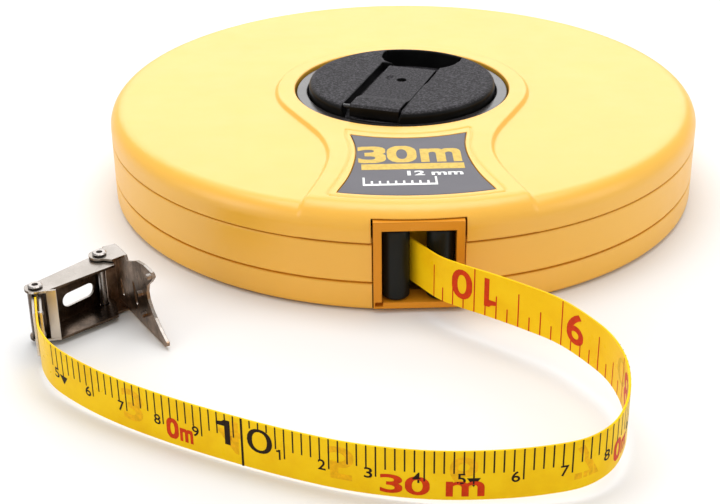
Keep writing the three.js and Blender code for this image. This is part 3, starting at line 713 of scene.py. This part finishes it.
def platform_lift(radius):
    """Height of the raised platform over the roof at a radius."""
    platform = rounded_top(radius, PLATFORM_TOP, PLATFORM_EDGE_R)
    return max(0, platform - rounded_top(radius, ROOF_TOP, EDGE_R))


def circle(radius, headings):
    turns = [math.radians(heading) for heading in headings]
    return [(radius * math.cos(a), radius * math.sin(a)) for a in turns]


class Plan:
    """Lines on a flat plan, and the triangles that they cut it into."""

    def __init__(self):
        self.points = []
        self.edges = []

    def line(self, line, closed=False):
        start = len(self.points)
        last = start + len(line) - 1
        self.points += [Vector((p[0], p[1])) for p in line]
        self.edges += [(index, index + 1) for index in range(start, last)]
        if closed:
            self.edges.append((last, start))

    def triangles(self):
        """Corners, triangles and the middle of each triangle."""
        verts, _, faces, _, _, _ = delaunay_2d_cdt(self.points, self.edges, [], 0, 1e-4)
        middles = [sum((verts[v] for v in face), Vector((0, 0))) / len(face) for face in faces]
        return verts, faces, middles


BRIDGE_SIDE = [
    (-27.6, -28.6), (-24.6, -35.6), (-22.7, -43), (-22.2, -50.5), (-23.4, -59), (-25.9, -68.5),
    (-28.4, -76.5), (-32.4, -86.6), (-34, -91),
]


def platform_outline():
    """Ring round the crank and the flared bridge from it to the mouth, open at the rim."""
    ring = [Vector(p) for p in arc(0, 0, RING_R, 214, -34, 120)]
    left, _ = spline([Vector(p) for p in reversed(BRIDGE_SIDE)], 1.0)
    return left + ring[3:-3] + mirrored(left)


def mirrored(line):
    """The line on the other side of the middle, walked the other way."""
    return [Vector((-x, y)) for x, y in reversed(line)]


def smooth_line(points, rounds):
    """Takes the corners out of an open line."""
    for _ in range(rounds):
        inner = [(a + b * 2 + c) / 4 for a, b, c in zip(points, points[1:], points[2:])]
        points = [points[0], *inner, points[-1]]
    return points


def offset_line(points, distance):
    """The line moved to its left by a distance."""
    moved = []
    for point, along in zip(points, directions(points)):
        along.normalize()
        moved.append(point + Vector((-along.y, along.x)) * distance)
    return moved


platform_line = smooth_line(platform_outline(), 6)


def label_outline():
    """Closed line of the label plate: two arcs and a waist."""
    top = arc(0, 0, 40.2, -90 - 23.1, -90 + 23.1, 24)
    bottom = arc(0, 0, 77, -90 + 15, -90 - 15, 24)
    waist = [(14.8, -43.5), (14.6, -49.5), (15.3, -57), (17, -65.5)]
    side, _ = spline([Vector(p) for p in [top[-1], *waist, bottom[0]]], 1.5)
    right = side[1:-1]
    return [Vector(p) for p in top + right + bottom + mirrored(right)]


LABEL_GAP = 0.28
LABEL_RECESS = 0.8
label_line = label_outline()


def groove_outline():
    """Closed line of the shallow groove round the label."""
    top = arc(0, 0, 37.0, -90 - 27.5, -90 + 27.5, 30)
    bottom = arc(0, 0, 78.9, -90 + 16.4, -90 - 16.4, 30)
    right = [(17.2, -38.5), (16.4, -44), (16.3, -50), (17.6, -58), (20, -67)]
    line = [Vector(p) for p in top + right + bottom + mirrored(right)]
    closed, _ = spline([*line, line[0]], 1.0)
    return closed


groove_line = groove_outline()


class Outline:
    """A closed line that knows how far outside it a point lies."""

    def __init__(self, line):
        self.starts = np.array([tuple(p) for p in line])
        self.steps = np.roll(self.starts, -1, axis=0) - self.starts
        self.lengths = (self.steps**2).sum(1)

    def outside(self, point):
        """Distance to the line, negative inside it."""
        offset = np.array(point) - self.starts
        share = np.clip((offset * self.steps).sum(1) / self.lengths, 0, 1)
        gap = offset - self.steps * share[:, None]
        distance = float(np.hypot(gap[:, 0], gap[:, 1]).min())
        below = offset[:, 1] < 0
        crosses = below != (offset[:, 1] < self.steps[:, 1])
        with np.errstate(divide="ignore", invalid="ignore"):
            cut = offset[:, 1] / self.steps[:, 1] * self.steps[:, 0]
        inside = np.count_nonzero(crosses & (offset[:, 0] < cut)) % 2
        return -distance if inside else distance


STEP_OFFSETS = [-1.5, -0.8, -0.5, -0.28, -0.1, 0.08, 0.25, 0.45, 0.7, 1.3]
STEP_START, STEP_END = -0.75, 0.6  # where the platform's sloping side begins and ends
GROOVE_OFFSETS = [-1.1, -0.55, -0.3, -0.1, 0.1, 0.3, 0.55, 1.1]
GROOVE_DEPTH = 0.3
GROOVE_HALF = 0.5
BEYOND_RIM = 120
platform_area = Outline(
    [*platform_line, (platform_line[-1].x, -BEYOND_RIM), (platform_line[0].x, -BEYOND_RIM)]
)
groove_area = Outline(groove_line[:-1])
label_area = Outline(label_line)


def cover_point(point):
    """Place on the cover's outer face of a point of its unrolled plan."""
    distance = math.hypot(*point)
    radius = section_radius(distance)
    height = float(np.interp(distance, profile_lengths, [p[1] for p in profile]))
    outside = platform_area.outside(point)
    share = min(max((outside - STEP_START) / (STEP_END - STEP_START), 0), 1)
    raised = 1 - share * share * (3 - 2 * share)
    height += raised * platform_lift(radius)
    if point[1] < 0:
        groove = abs(groove_area.outside(point))
        if groove < GROOVE_HALF:
            height -= GROOVE_DEPTH * (1 + math.cos(math.pi * groove / GROOVE_HALF)) / 2
        if label_area.outside(point) < LABEL_GAP:
            height -= LABEL_RECESS
    return (radius * point[0] / distance, radius * point[1] / distance, height)


FRAME_SLOT_HALF = 11.9
FRAME_SLOT_TOP = frame_high.z + 0.3
SLOT_WALL_BACK = -78.0
BAND_SLOT_HALF = FRAME_SLOT_HALF - 0.2


def slot_outline():
    """Unrolled outline of the rectangular opening for the mouth frame, and where it starts."""
    outwards = np.arange(80, COVER_END, 0.02)
    top = next(float(d) for d in outwards if cover_point((0.0, -d))[2] < FRAME_SLOT_TOP)
    side = []
    for distance in np.linspace(top, COVER_END + 1, 24):
        heading = math.asin(FRAME_SLOT_HALF / section_radius(distance))
        side.append((distance * math.sin(heading), -distance * math.cos(heading)))
    across = [(x, -math.sqrt(top * top - x * x)) for x in np.linspace(-side[0][0], side[0][0], 21)]
    left = [(-x, y) for x, y in reversed(side)]
    return left[:-1] + across + side[1:], top


def make_top_cover():
    """Cover with its platform, grooves and label recess, open for the crank and the mouth frame."""
    plan = Plan()
    rims = [*profile_lengths, CASE_R - PLATFORM_EDGE_R, OPENING_R + 1.2, *np.arange(36, 79, 3.0)]
    for distance in sorted(rims):
        plan.line(circle(distance, circle_headings(CASE_STEPS)), True)
    for offset in STEP_OFFSETS:
        plan.line(offset_line(platform_line, offset))
    for offset in GROOVE_OFFSETS:
        plan.line(offset_line(groove_line, offset))
    for offset in (LABEL_GAP - 0.05, LABEL_GAP + 0.01):
        plan.line(offset_line([*label_line, label_line[0]], offset))
    slot, slot_top = slot_outline()
    plan.line(slot)
    verts, faces, middles = plan.triangles()
    outer, inner = COVER_END + 0.01, COVER_START - 0.01
    kept = []
    for face, middle in zip(faces, middles):
        distance = middle.length
        across = abs(middle.x / distance) * section_radius(distance)
        in_slot = middle.y < 0 and distance > slot_top and across < FRAME_SLOT_HALF
        corners = [verts[v].length for v in face]
        beyond = max(corners) > outer or distance < inner - 0.2
        in_opening = min(corners) < inner and distance < OPENING_R - 3
        if not (in_slot or beyond or in_opening):
            kept.append(tuple(face))
    used = sorted({v for face in kept for v in face})
    renumbered = {old: new for new, old in enumerate(used)}
    corners = [cover_point(verts[v]) for v in used]
    faces = [tuple(renumbered[v] for v in face) for face in kept]
    # Cut faces of the wall where the mouth frame goes in.
    rim_walls = [cover_point(p) for p in slot if math.hypot(*p) <= outer]
    start, count = len(corners), len(rim_walls)
    corners += rim_walls + [(x, SLOT_WALL_BACK, z) for x, _, z in rim_walls]
    for near in range(start, start + count - 1):
        faces.append((near, near + 1, near + count + 1, near + count))
    nodes = ["case_top_cover"]
    cover = make_piece("top_cover", corners, faces, CASE_YELLOW, "housing", nodes, 38)
    cover.modifiers.new("even_shading", "WEIGHTED_NORMAL").keep_sharp = True


make_top_cover()


# Even headings round the case, the first and last of them at the sides of the mouth.
mouth_side = math.degrees(math.asin(BAND_SLOT_HALF / CASE_R))
BAND_HEADINGS = list(np.linspace(270 + mouth_side, 630 - mouth_side, CASE_STEPS + 1))
TONGUE_IN, TONGUE_OUT = 0.2, 0.6  # from the wall's inner face
TONGUE_REACH = 1.4  # behind the covers, past both seams


def before_mouth(column, row):
    """Leaves out the column of faces that would close a rim across the mouth."""
    return column < CASE_STEPS


def make_band():
    """Centre band, and the tongue that shows as a dark step behind both seams."""
    section = [*reversed(seam_edge(BAND_FOOT, 1)), *seam_edge(BAND_TOP, -1)]
    verts, faces = lathe(section, BAND_HEADINGS, keep=before_mouth)
    rows = len(section)
    faces.append(tuple(range(rows)))
    faces.append(tuple(reversed(range(CASE_STEPS * rows, (CASE_STEPS + 1) * rows))))
    inner, outer = CASE_R - WALL - TONGUE_IN, CASE_R - WALL + TONGUE_OUT
    low, high = BAND_FOOT - TONGUE_REACH, BAND_TOP + TONGUE_REACH
    tongue = [(inner, low), (outer, low), (outer, high), (inner, high)]
    join(verts, faces, *lathe(tongue, BAND_HEADINGS, keep=before_mouth))
    make_piece("center_band", verts, faces, CASE_YELLOW, "housing", ["case_center_band"])


make_band()

FOOT_R = 1.5
FOOT_NOTCH = 0.6  # height up to which the pan's edge runs on under the mouth
RECESS_DEPTH = 1.8
SCREW_RECESS_R, SCREW_HOLE_R = 2.7, 1.5
SPINDLE_RECESS_R, SPINDLE_HOLE_R = 7.3, 4.3


def make_bottom_pan():
    """Bottom cover with a rounded foot, and the recesses of the spindle and the five screws."""
    underside = CASE_R - FOOT_R
    foot = arc(underside, FOOT_R, FOOT_R, -90, 0, 6)
    rise = [p for p in foot if p[1] < FOOT_NOTCH]
    rest = [p for p in foot if p[1] >= FOOT_NOTCH]
    at_notch = (underside + math.sqrt(FOOT_R**2 - (FOOT_R - FOOT_NOTCH) ** 2), FOOT_NOTCH)
    section = [*rise, at_notch, *rest, *seam_edge(PAN_TOP, -1)]

    def keep(column, row):
        return before_mouth(column, row) or row < len(rise)

    verts, faces = lathe(section, BAND_HEADINGS, keep=keep, closed=False)
    recesses = [(0, 0, SPINDLE_RECESS_R, SPINDLE_HOLE_R, 48)]
    for index in range(1, 6):
        low, high = node_box(f"case_screw_{index}")
        middle = (low + high) / 2
        recesses.append((middle.x, middle.y, SCREW_RECESS_R, SCREW_HOLE_R, 32))
    plan = Plan()
    plan.line(circle(underside, BAND_HEADINGS), True)
    for x, y, radius, _, steps in recesses:
        plan.line(arc(x, y, radius, 0, 360 - 360 / steps, steps - 1), True)
    flat, triangles, middles = plan.triangles()
    kept = []
    for face, middle in zip(triangles, middles):
        if all(math.hypot(middle.x - x, middle.y - y) >= r * 0.99 for x, y, r, _, _ in recesses):
            kept.append(face)
    join(verts, faces, [(p.x, p.y, 0.0) for p in flat], kept)
    for x, y, radius, hole, steps in recesses:
        recess = [(radius, 0.0), (radius, RECESS_DEPTH), (hole, RECESS_DEPTH), (hole, 4)]
        join(verts, faces, *lathe(recess, circle_headings(steps), (x, y), closed=False))
    make_piece("bottom_pan", verts, faces, CASE_YELLOW, "housing", ["case_bottom_cover"])


make_bottom_pan()


# ---- label

LABEL_TOP = node_box("label_plate")[1].z
LABEL_INK_Z = LABEL_TOP + 0.03
LABEL_CENTRE = Vector((0, -57))
LABEL_RINGS = [(0.0, LABEL_TOP - 0.4), (0.0, LABEL_TOP - 0.08), (0.12, LABEL_TOP)]  # inset, height


def make_label():
    """Plate with a waist and a broken upper edge."""
    verts = []
    for inset, height in LABEL_RINGS:
        for corner in label_line:
            x, y = corner + (LABEL_CENTRE - corner).normalized() * inset
            verts.append((x, y, height))
    faces = loft(len(LABEL_RINGS), len(label_line))
    faces.append(tuple(range(len(verts) - len(label_line), len(verts))))
    make_piece("label", verts, faces, LABEL_GREY, "housing", ["label_plate"])


make_label()

RULER_LEFT, RULER_FOOT = -13.4, -70.9
RULER_BAR = 1.1
RULER_STEP, RULER_TICK = 2.06, 0.55


def lay_label(x, y):
    return (x, y, LABEL_INK_Z)


def label_print():
    """The tape's length over a plain bar, its width, and a small ruler."""
    cream, white = Print(), Print()
    base, bold = -56.3, 0.035
    cream.text("3", -14, base, 6.9, 10.4, bold)
    cream.text("0", -6.3, base, 7.4, 10.4, bold)
    cream.text("m", 2.6, base, 10.2, 8.3, bold)
    cream.bar(-13.5, 13.4, -61, -57.4)
    white.text("12 mm", -1.6, -64.9, 14.1, 2.7, 0.03)
    ruler_top = RULER_FOOT + RULER_BAR
    white.bar(RULER_LEFT, 5.7, RULER_FOOT, ruler_top)
    for index in range(10):
        x = RULER_LEFT + index * RULER_STEP
        height = 5.1 if index in (0, 9) else 2.8
        white.bar(x, x + RULER_TICK, ruler_top, RULER_FOOT + height)
    cream.laid("label_print_cream", lay_label, INK_CREAM, "label_grey")
    white.laid("label_print_white", lay_label, INK_WHITE, "label_grey")


label_print()


# ---- mouth

ROLLER_BORE_R = 1.3
ROLLER_ROUND = 0.7


def make_roller(side):
    """Guide roller with a bore and rounded ends."""
    name = f"{side}_guide_roller"
    low, high = node_box(name)
    middle = (low + high) / 2
    radius = (high.x - low.x) / 2
    rounding = radius - ROLLER_ROUND
    profile = [
        (ROLLER_BORE_R, low.z),
        *arc(rounding, low.z + ROLLER_ROUND, ROLLER_ROUND, -90, 0, 5),
        *arc(rounding, high.z - ROLLER_ROUND, ROLLER_ROUND, 0, 90, 5),
        (ROLLER_BORE_R, high.z),
    ]
    verts, faces = lathe(profile, circle_headings(64), (middle.x, middle.y))
    body = f"{side}_roller"
    make_piece(body, verts, faces, ROLLER_BLACK, body, [name])


make_roller("left")
make_roller("right")


# ---- reel and crank

REEL_STEPS = 160


def make_hub():
    """Drum of the reel, whose collar shows as a grey ring round the crank."""
    outer = node_box("spool_hub")[1].x
    # Radius and height, from the bore's foot outwards, up to the collar and back inside.
    profile = [
        (6.3, 6.6), (outer, 6.6), (outer, 18.6), (31.3, 18.6), (31.3, 27.0), (31.0, 27.3),
        (28.3, 27.3), (27.95, 27.0), (27.95, 23), (18.5, 23), (18.5, 21), (27.95, 21),
        (34.8, 16.6), (34.8, 8.8), (6.3, 8.8),
    ]
    verts, faces = lathe(profile, circle_headings(REEL_STEPS))
    make_piece("reel_hub", verts, faces, REEL_GREY, "reel", ["spool_hub"])


make_hub()

CRANK_TURN = math.radians(-20.3)
DISC_R = 27.5
DISC_TOP = 30.4
DISC_FOOT = 23.35
SHOULDER = 1.5
DISC_FLAT = DISC_R - SHOULDER
DISC_REACH = DISC_FLAT + SHOULDER * math.pi / 2 + DISC_TOP - SHOULDER - DISC_FOOT
CHANNEL = (-10.0, 7.7, 12.5)  # left, right and far sides of the lever's channel
CHANNEL_FLOOR = 27.3
HINGE_Y, HINGE_Z, HINGE_ROOM = -23.5, 29.5, 3.7
HINGE_REACHES = (-3.69, -3.5, -2.8, -1.4, 0, 1.4, 2.8, 3.5, 3.69)  # lines of the hinge's hollow
HINGE_PIN_R = 0.7
HINGE_PIN_ENDS = (-11, 10.8)
DISC_RINGS = [3, 8, 13, 18, 22.5]
ROOM_R = 8.3
ROOM_END = 12.4
POCKET_FLOOR = 24.9
EDGE_ROUND = 0.45
CUT = -0.01  # how far inside an outline its cut begins
POCKET_SIDE = [
    (-12, 23.1), (-12.4, 20.5), (-11.4, 16.6), (-9.2, 13.6), (-5, 12.2), (0, 11.6), (4.5, 11.2),
    (9.5, 13.7), (12, 19), (12, 23.1),
]


def disc_section(distance):
    """Radius and height on the disc at a distance from its middle along its skin."""
    if distance <= DISC_FLAT:
        return distance, DISC_TOP
    turn = (distance - DISC_FLAT) / SHOULDER
    if turn <= math.pi / 2:
        return DISC_FLAT + SHOULDER * math.sin(turn), DISC_TOP - SHOULDER * (1 - math.cos(turn))
    return DISC_R, DISC_TOP - SHOULDER - (turn - math.pi / 2) * SHOULDER


def disc_unrolled(x, y):
    """Point of the disc's flat plan that folds down to a place on its top or shoulder."""
    radius = math.hypot(x, y)
    if radius <= DISC_FLAT:
        return (x, y)
    distance = DISC_FLAT + SHOULDER * math.asin(min(1, (radius - DISC_FLAT) / SHOULDER))
    return (x / radius * distance, y / radius * distance)


# Closed line of the fingertip's pocket: a curved side and a part of the disc's rim.
pocket_edge, _ = spline([Vector(p) for p in POCKET_SIDE], 0.8)
pocket_edge += [Vector(p) for p in arc(0, 0, 26.0, 62.6, 117.4, 24)[1:-1]]
pocket_area = Outline(pocket_edge)
# Round-ended hole under the lever, which takes the knob.
room_edge = arc(0, -0.2, ROOM_R, 180, 360, 24) + [(ROOM_R, ROOM_END), (-ROOM_R, ROOM_END)]
room_area = Outline(room_edge)


def channel_outside(x, y):
    """Distance outside the lever's channel, negative inside it."""
    left, right, far = CHANNEL
    return max(left - x, x - right, y - far)


def rounded_drop(outside):
    """How far a rounded edge falls below the flat beside a cut."""
    if not 0 <= outside < EDGE_ROUND:
        return 0
    return EDGE_ROUND - math.sqrt(EDGE_ROUND**2 - (EDGE_ROUND - outside) ** 2)


def disc_point(point):
    """Place on the disc of a point of its unrolled plan."""
    distance = math.hypot(*point)
    radius, height = disc_section(distance)
    x = point[0] * radius / distance if distance else 0
    y = point[1] * radius / distance if distance else 0
    channel = channel_outside(x, y)
    pocket = pocket_area.outside((x, y))
    height -= max(rounded_drop(channel), rounded_drop(pocket))
    if channel < CUT:
        height = min(height, CHANNEL_FLOOR)
        reach = abs(y - HINGE_Y)
        if reach < HINGE_ROOM:
            height = min(height, HINGE_Z - math.sqrt(HINGE_ROOM**2 - reach**2))
    if pocket < CUT:
        height = min(height, POCKET_FLOOR)
    if room_area.outside((x, y)) < CUT:
        height = DISC_FOOT
    return (x, y, height)


def crank_turned(places):
    """Places turned from the crank's own axes to the way it lies at rest."""
    cos, sin = math.cos(CRANK_TURN), math.sin(CRANK_TURN)
    return [(x * cos - y * sin, x * sin + y * cos, z) for x, y, z in places]


def at_foot(x, y):
    """The same heading on the disc's plan, at the disc's foot."""
    share = DISC_REACH / math.hypot(x, y)
    return (x * share, y * share)


def channel_plan(offset):
    """Unrolled line round the channel at an offset, taken to the disc's foot on both sides."""
    left, right, far = CHANNEL[0] - offset, CHANNEL[1] + offset, CHANNEL[2] + offset
    low_left = -math.sqrt(DISC_R**2 - left**2)
    low_right = -math.sqrt(DISC_R**2 - right**2)
    line = [(left, y) for y in np.linspace(low_left, far, 40)]
    line += [(x, far) for x in np.linspace(left, right, 20)[1:]]
    line += [(right, y) for y in np.linspace(far, low_right, 40)[1:]]
    line = [disc_unrolled(*p) for p in line]
    # On the right the foot comes just before the line's end, so the line ends on the rim.
    return [at_foot(*line[0]), *line[:-1], at_foot(*line[-1]), line[-1]]


def make_crank_disc():
    """Disc with the lever's channel, the fingertip's pocket and the knob's room cut into it."""
    plan = Plan()
    turns = [DISC_FLAT + SHOULDER * math.pi / 2 * step / 5 for step in range(6)]
    for distance in [*DISC_RINGS, *turns, DISC_REACH - 2, DISC_REACH]:
        plan.line(circle(distance, circle_headings(REEL_STEPS)), True)
    for offset in (-0.03, 0.0, 0.1, 0.25, 0.5):
        plan.line(channel_plan(offset))
        plan.line(offset_line([*pocket_edge, pocket_edge[0]], -offset))
    for scale in (1, 1 - 0.03 / 9):
        plan.line([Vector(p) * scale for p in room_edge], True)
    for reach in HINGE_REACHES:
        y = HINGE_Y + reach
        half = math.sqrt(max(0, DISC_R**2 - y**2)) - 0.02
        line = np.linspace(max(CHANNEL[0], -half), min(CHANNEL[1], half), 14)
        plan.line([disc_unrolled(x, y) for x in line])
    verts, faces, middles = plan.triangles()
    kept = []
    for face, middle in zip(faces, middles):
        in_room = middle.length < DISC_FLAT and room_area.outside(tuple(middle)) < -0.04
        if middle.length <= DISC_REACH and not in_room:
            kept.append(tuple(face))
    places = crank_turned([disc_point(v) for v in verts])
    disc = make_piece("crank_plate", places, kept, BLACK_GRAIN, "reel", ["crank_disc"], 40)
    disc.modifiers.new("even_shading", "WEIGHTED_NORMAL").keep_sharp = True


make_crank_disc()


def make_hinge_pin():
    """The lever's hinge pin, which ends inside the disc and stays under its top."""
    start, end = HINGE_PIN_ENDS
    section = [(0, start), (HINGE_PIN_R, start), (HINGE_PIN_R, end), (0, end)]
    verts, faces = lathe(section, circle_headings(24), closed=False)
    laid = [(along, HINGE_Y + side, HINGE_Z + lift) for side, lift, along in verts]
    turned = crank_turned(laid)
    make_piece("hinge_pin", turned, faces, BLACK_GLOSS, "reel", ["lever_hinge_pin"])


make_hinge_pin()

# CAD nodes whose shape is right keep it, and take a finish of their own.
SCREWS = [f"case_screw_{index}" for index in range(1, 6)]
SCREWS += [f"disc_screw_{index}" for index in range(1, 5)]
PINS = ["spindle", "left_roller_pin", "right_roller_pin", "knob_pin"]
PINS += ["clamp_rivet_1", "clamp_rivet_2", "link_pivot_pin", "claw_pivot_pin"]
FINISHES = [
    (FRAME_YELLOW, ["mouth_frame"]),
    (BUSH_WHITE, ["spindle_bush"]),
    (REEL_GREY, ["spool_lower_flange", "spool_upper_flange"]),
    (TAPE_YELLOW, ["wound_tape"]),
    (BLACK_GRAIN, ["crank_lever"]),
    (BLACK_GLOSS, ["crank_knob"]),
    (HOOK_STEEL, ["tape_clamp_outer", "tape_clamp_inner", "hook_link"]),
    (CLAW_STEEL, ["hook_claw"]),
    (STEEL, PINS),
    (ZINC_STEEL, ["spindle_washer", "spindle_screw", *SCREWS]),
]
for finish, names in FINISHES:
    for name in names:
        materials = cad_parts[name].data.materials
        materials.clear()
        materials.append(finish)


# ---- floor and light


FLOOR_HALF = 12.0
FLOOR_DROP = 0.0004


def make_stage():
    """Plain pale floor, just under the part."""
    mesh = bpy.data.meshes.new("floor")
    corners = [(x * FLOOR_HALF, y * FLOOR_HALF, 0) for x, y in ((-1, -1), (1, -1), (1, 1), (-1, 1))]
    mesh.from_pydata(corners, [], [(0, 1, 2, 3)])
    n = Nodes("floor_white")
    n.set("Base Color", n.ramp(n.noise(3), [(0.3, grey(0.77)), (0.7, grey(0.79))]))
    n.set("Roughness", 0.9)
    mesh.materials.append(n.material)
    floor = add_object("floor", mesh)
    floor.location.z = -FLOOR_DROP


TARGET = (0, -0.02, 0.02)


def make_light(name, place, size, power):
    """Rectangular studio light aimed at the part."""
    data = bpy.data.lights.new(name, "AREA")
    data.shape = "RECTANGLE"
    data.size, data.size_y = size
    data.energy = power
    light = add_object(name, data)
    light.location = place
    light.rotation_mode = "QUATERNION"
    aim = Vector(TARGET) - Vector(place)
    light.rotation_quaternion = aim.to_track_quat("-Z", "Y")


make_stage()
make_light("overhead", (0.0, 0.12, 1.0), (0.9, 0.6), 6.5)
make_light("back_window", (0.0, 1.4, 0.8), (2.0, 0.9), 11.5)
make_light("left_front", (-1.6, -0.56, 0.8), (0.8, 0.9), 5.0)
make_light("right_front", (1.6, -0.48, 0.8), (0.8, 0.9), 3.8)
world = bpy.data.worlds.new("studio")
world.use_nodes = True
background = world.node_tree.nodes["Background"]
background.inputs["Color"].default_value = (1.0, 1.0, 1.0, 1)
background.inputs["Strength"].default_value = 0.7
bpy.context.scene.world = world
bpy.context.scene.view_settings.view_transform = "Standard"
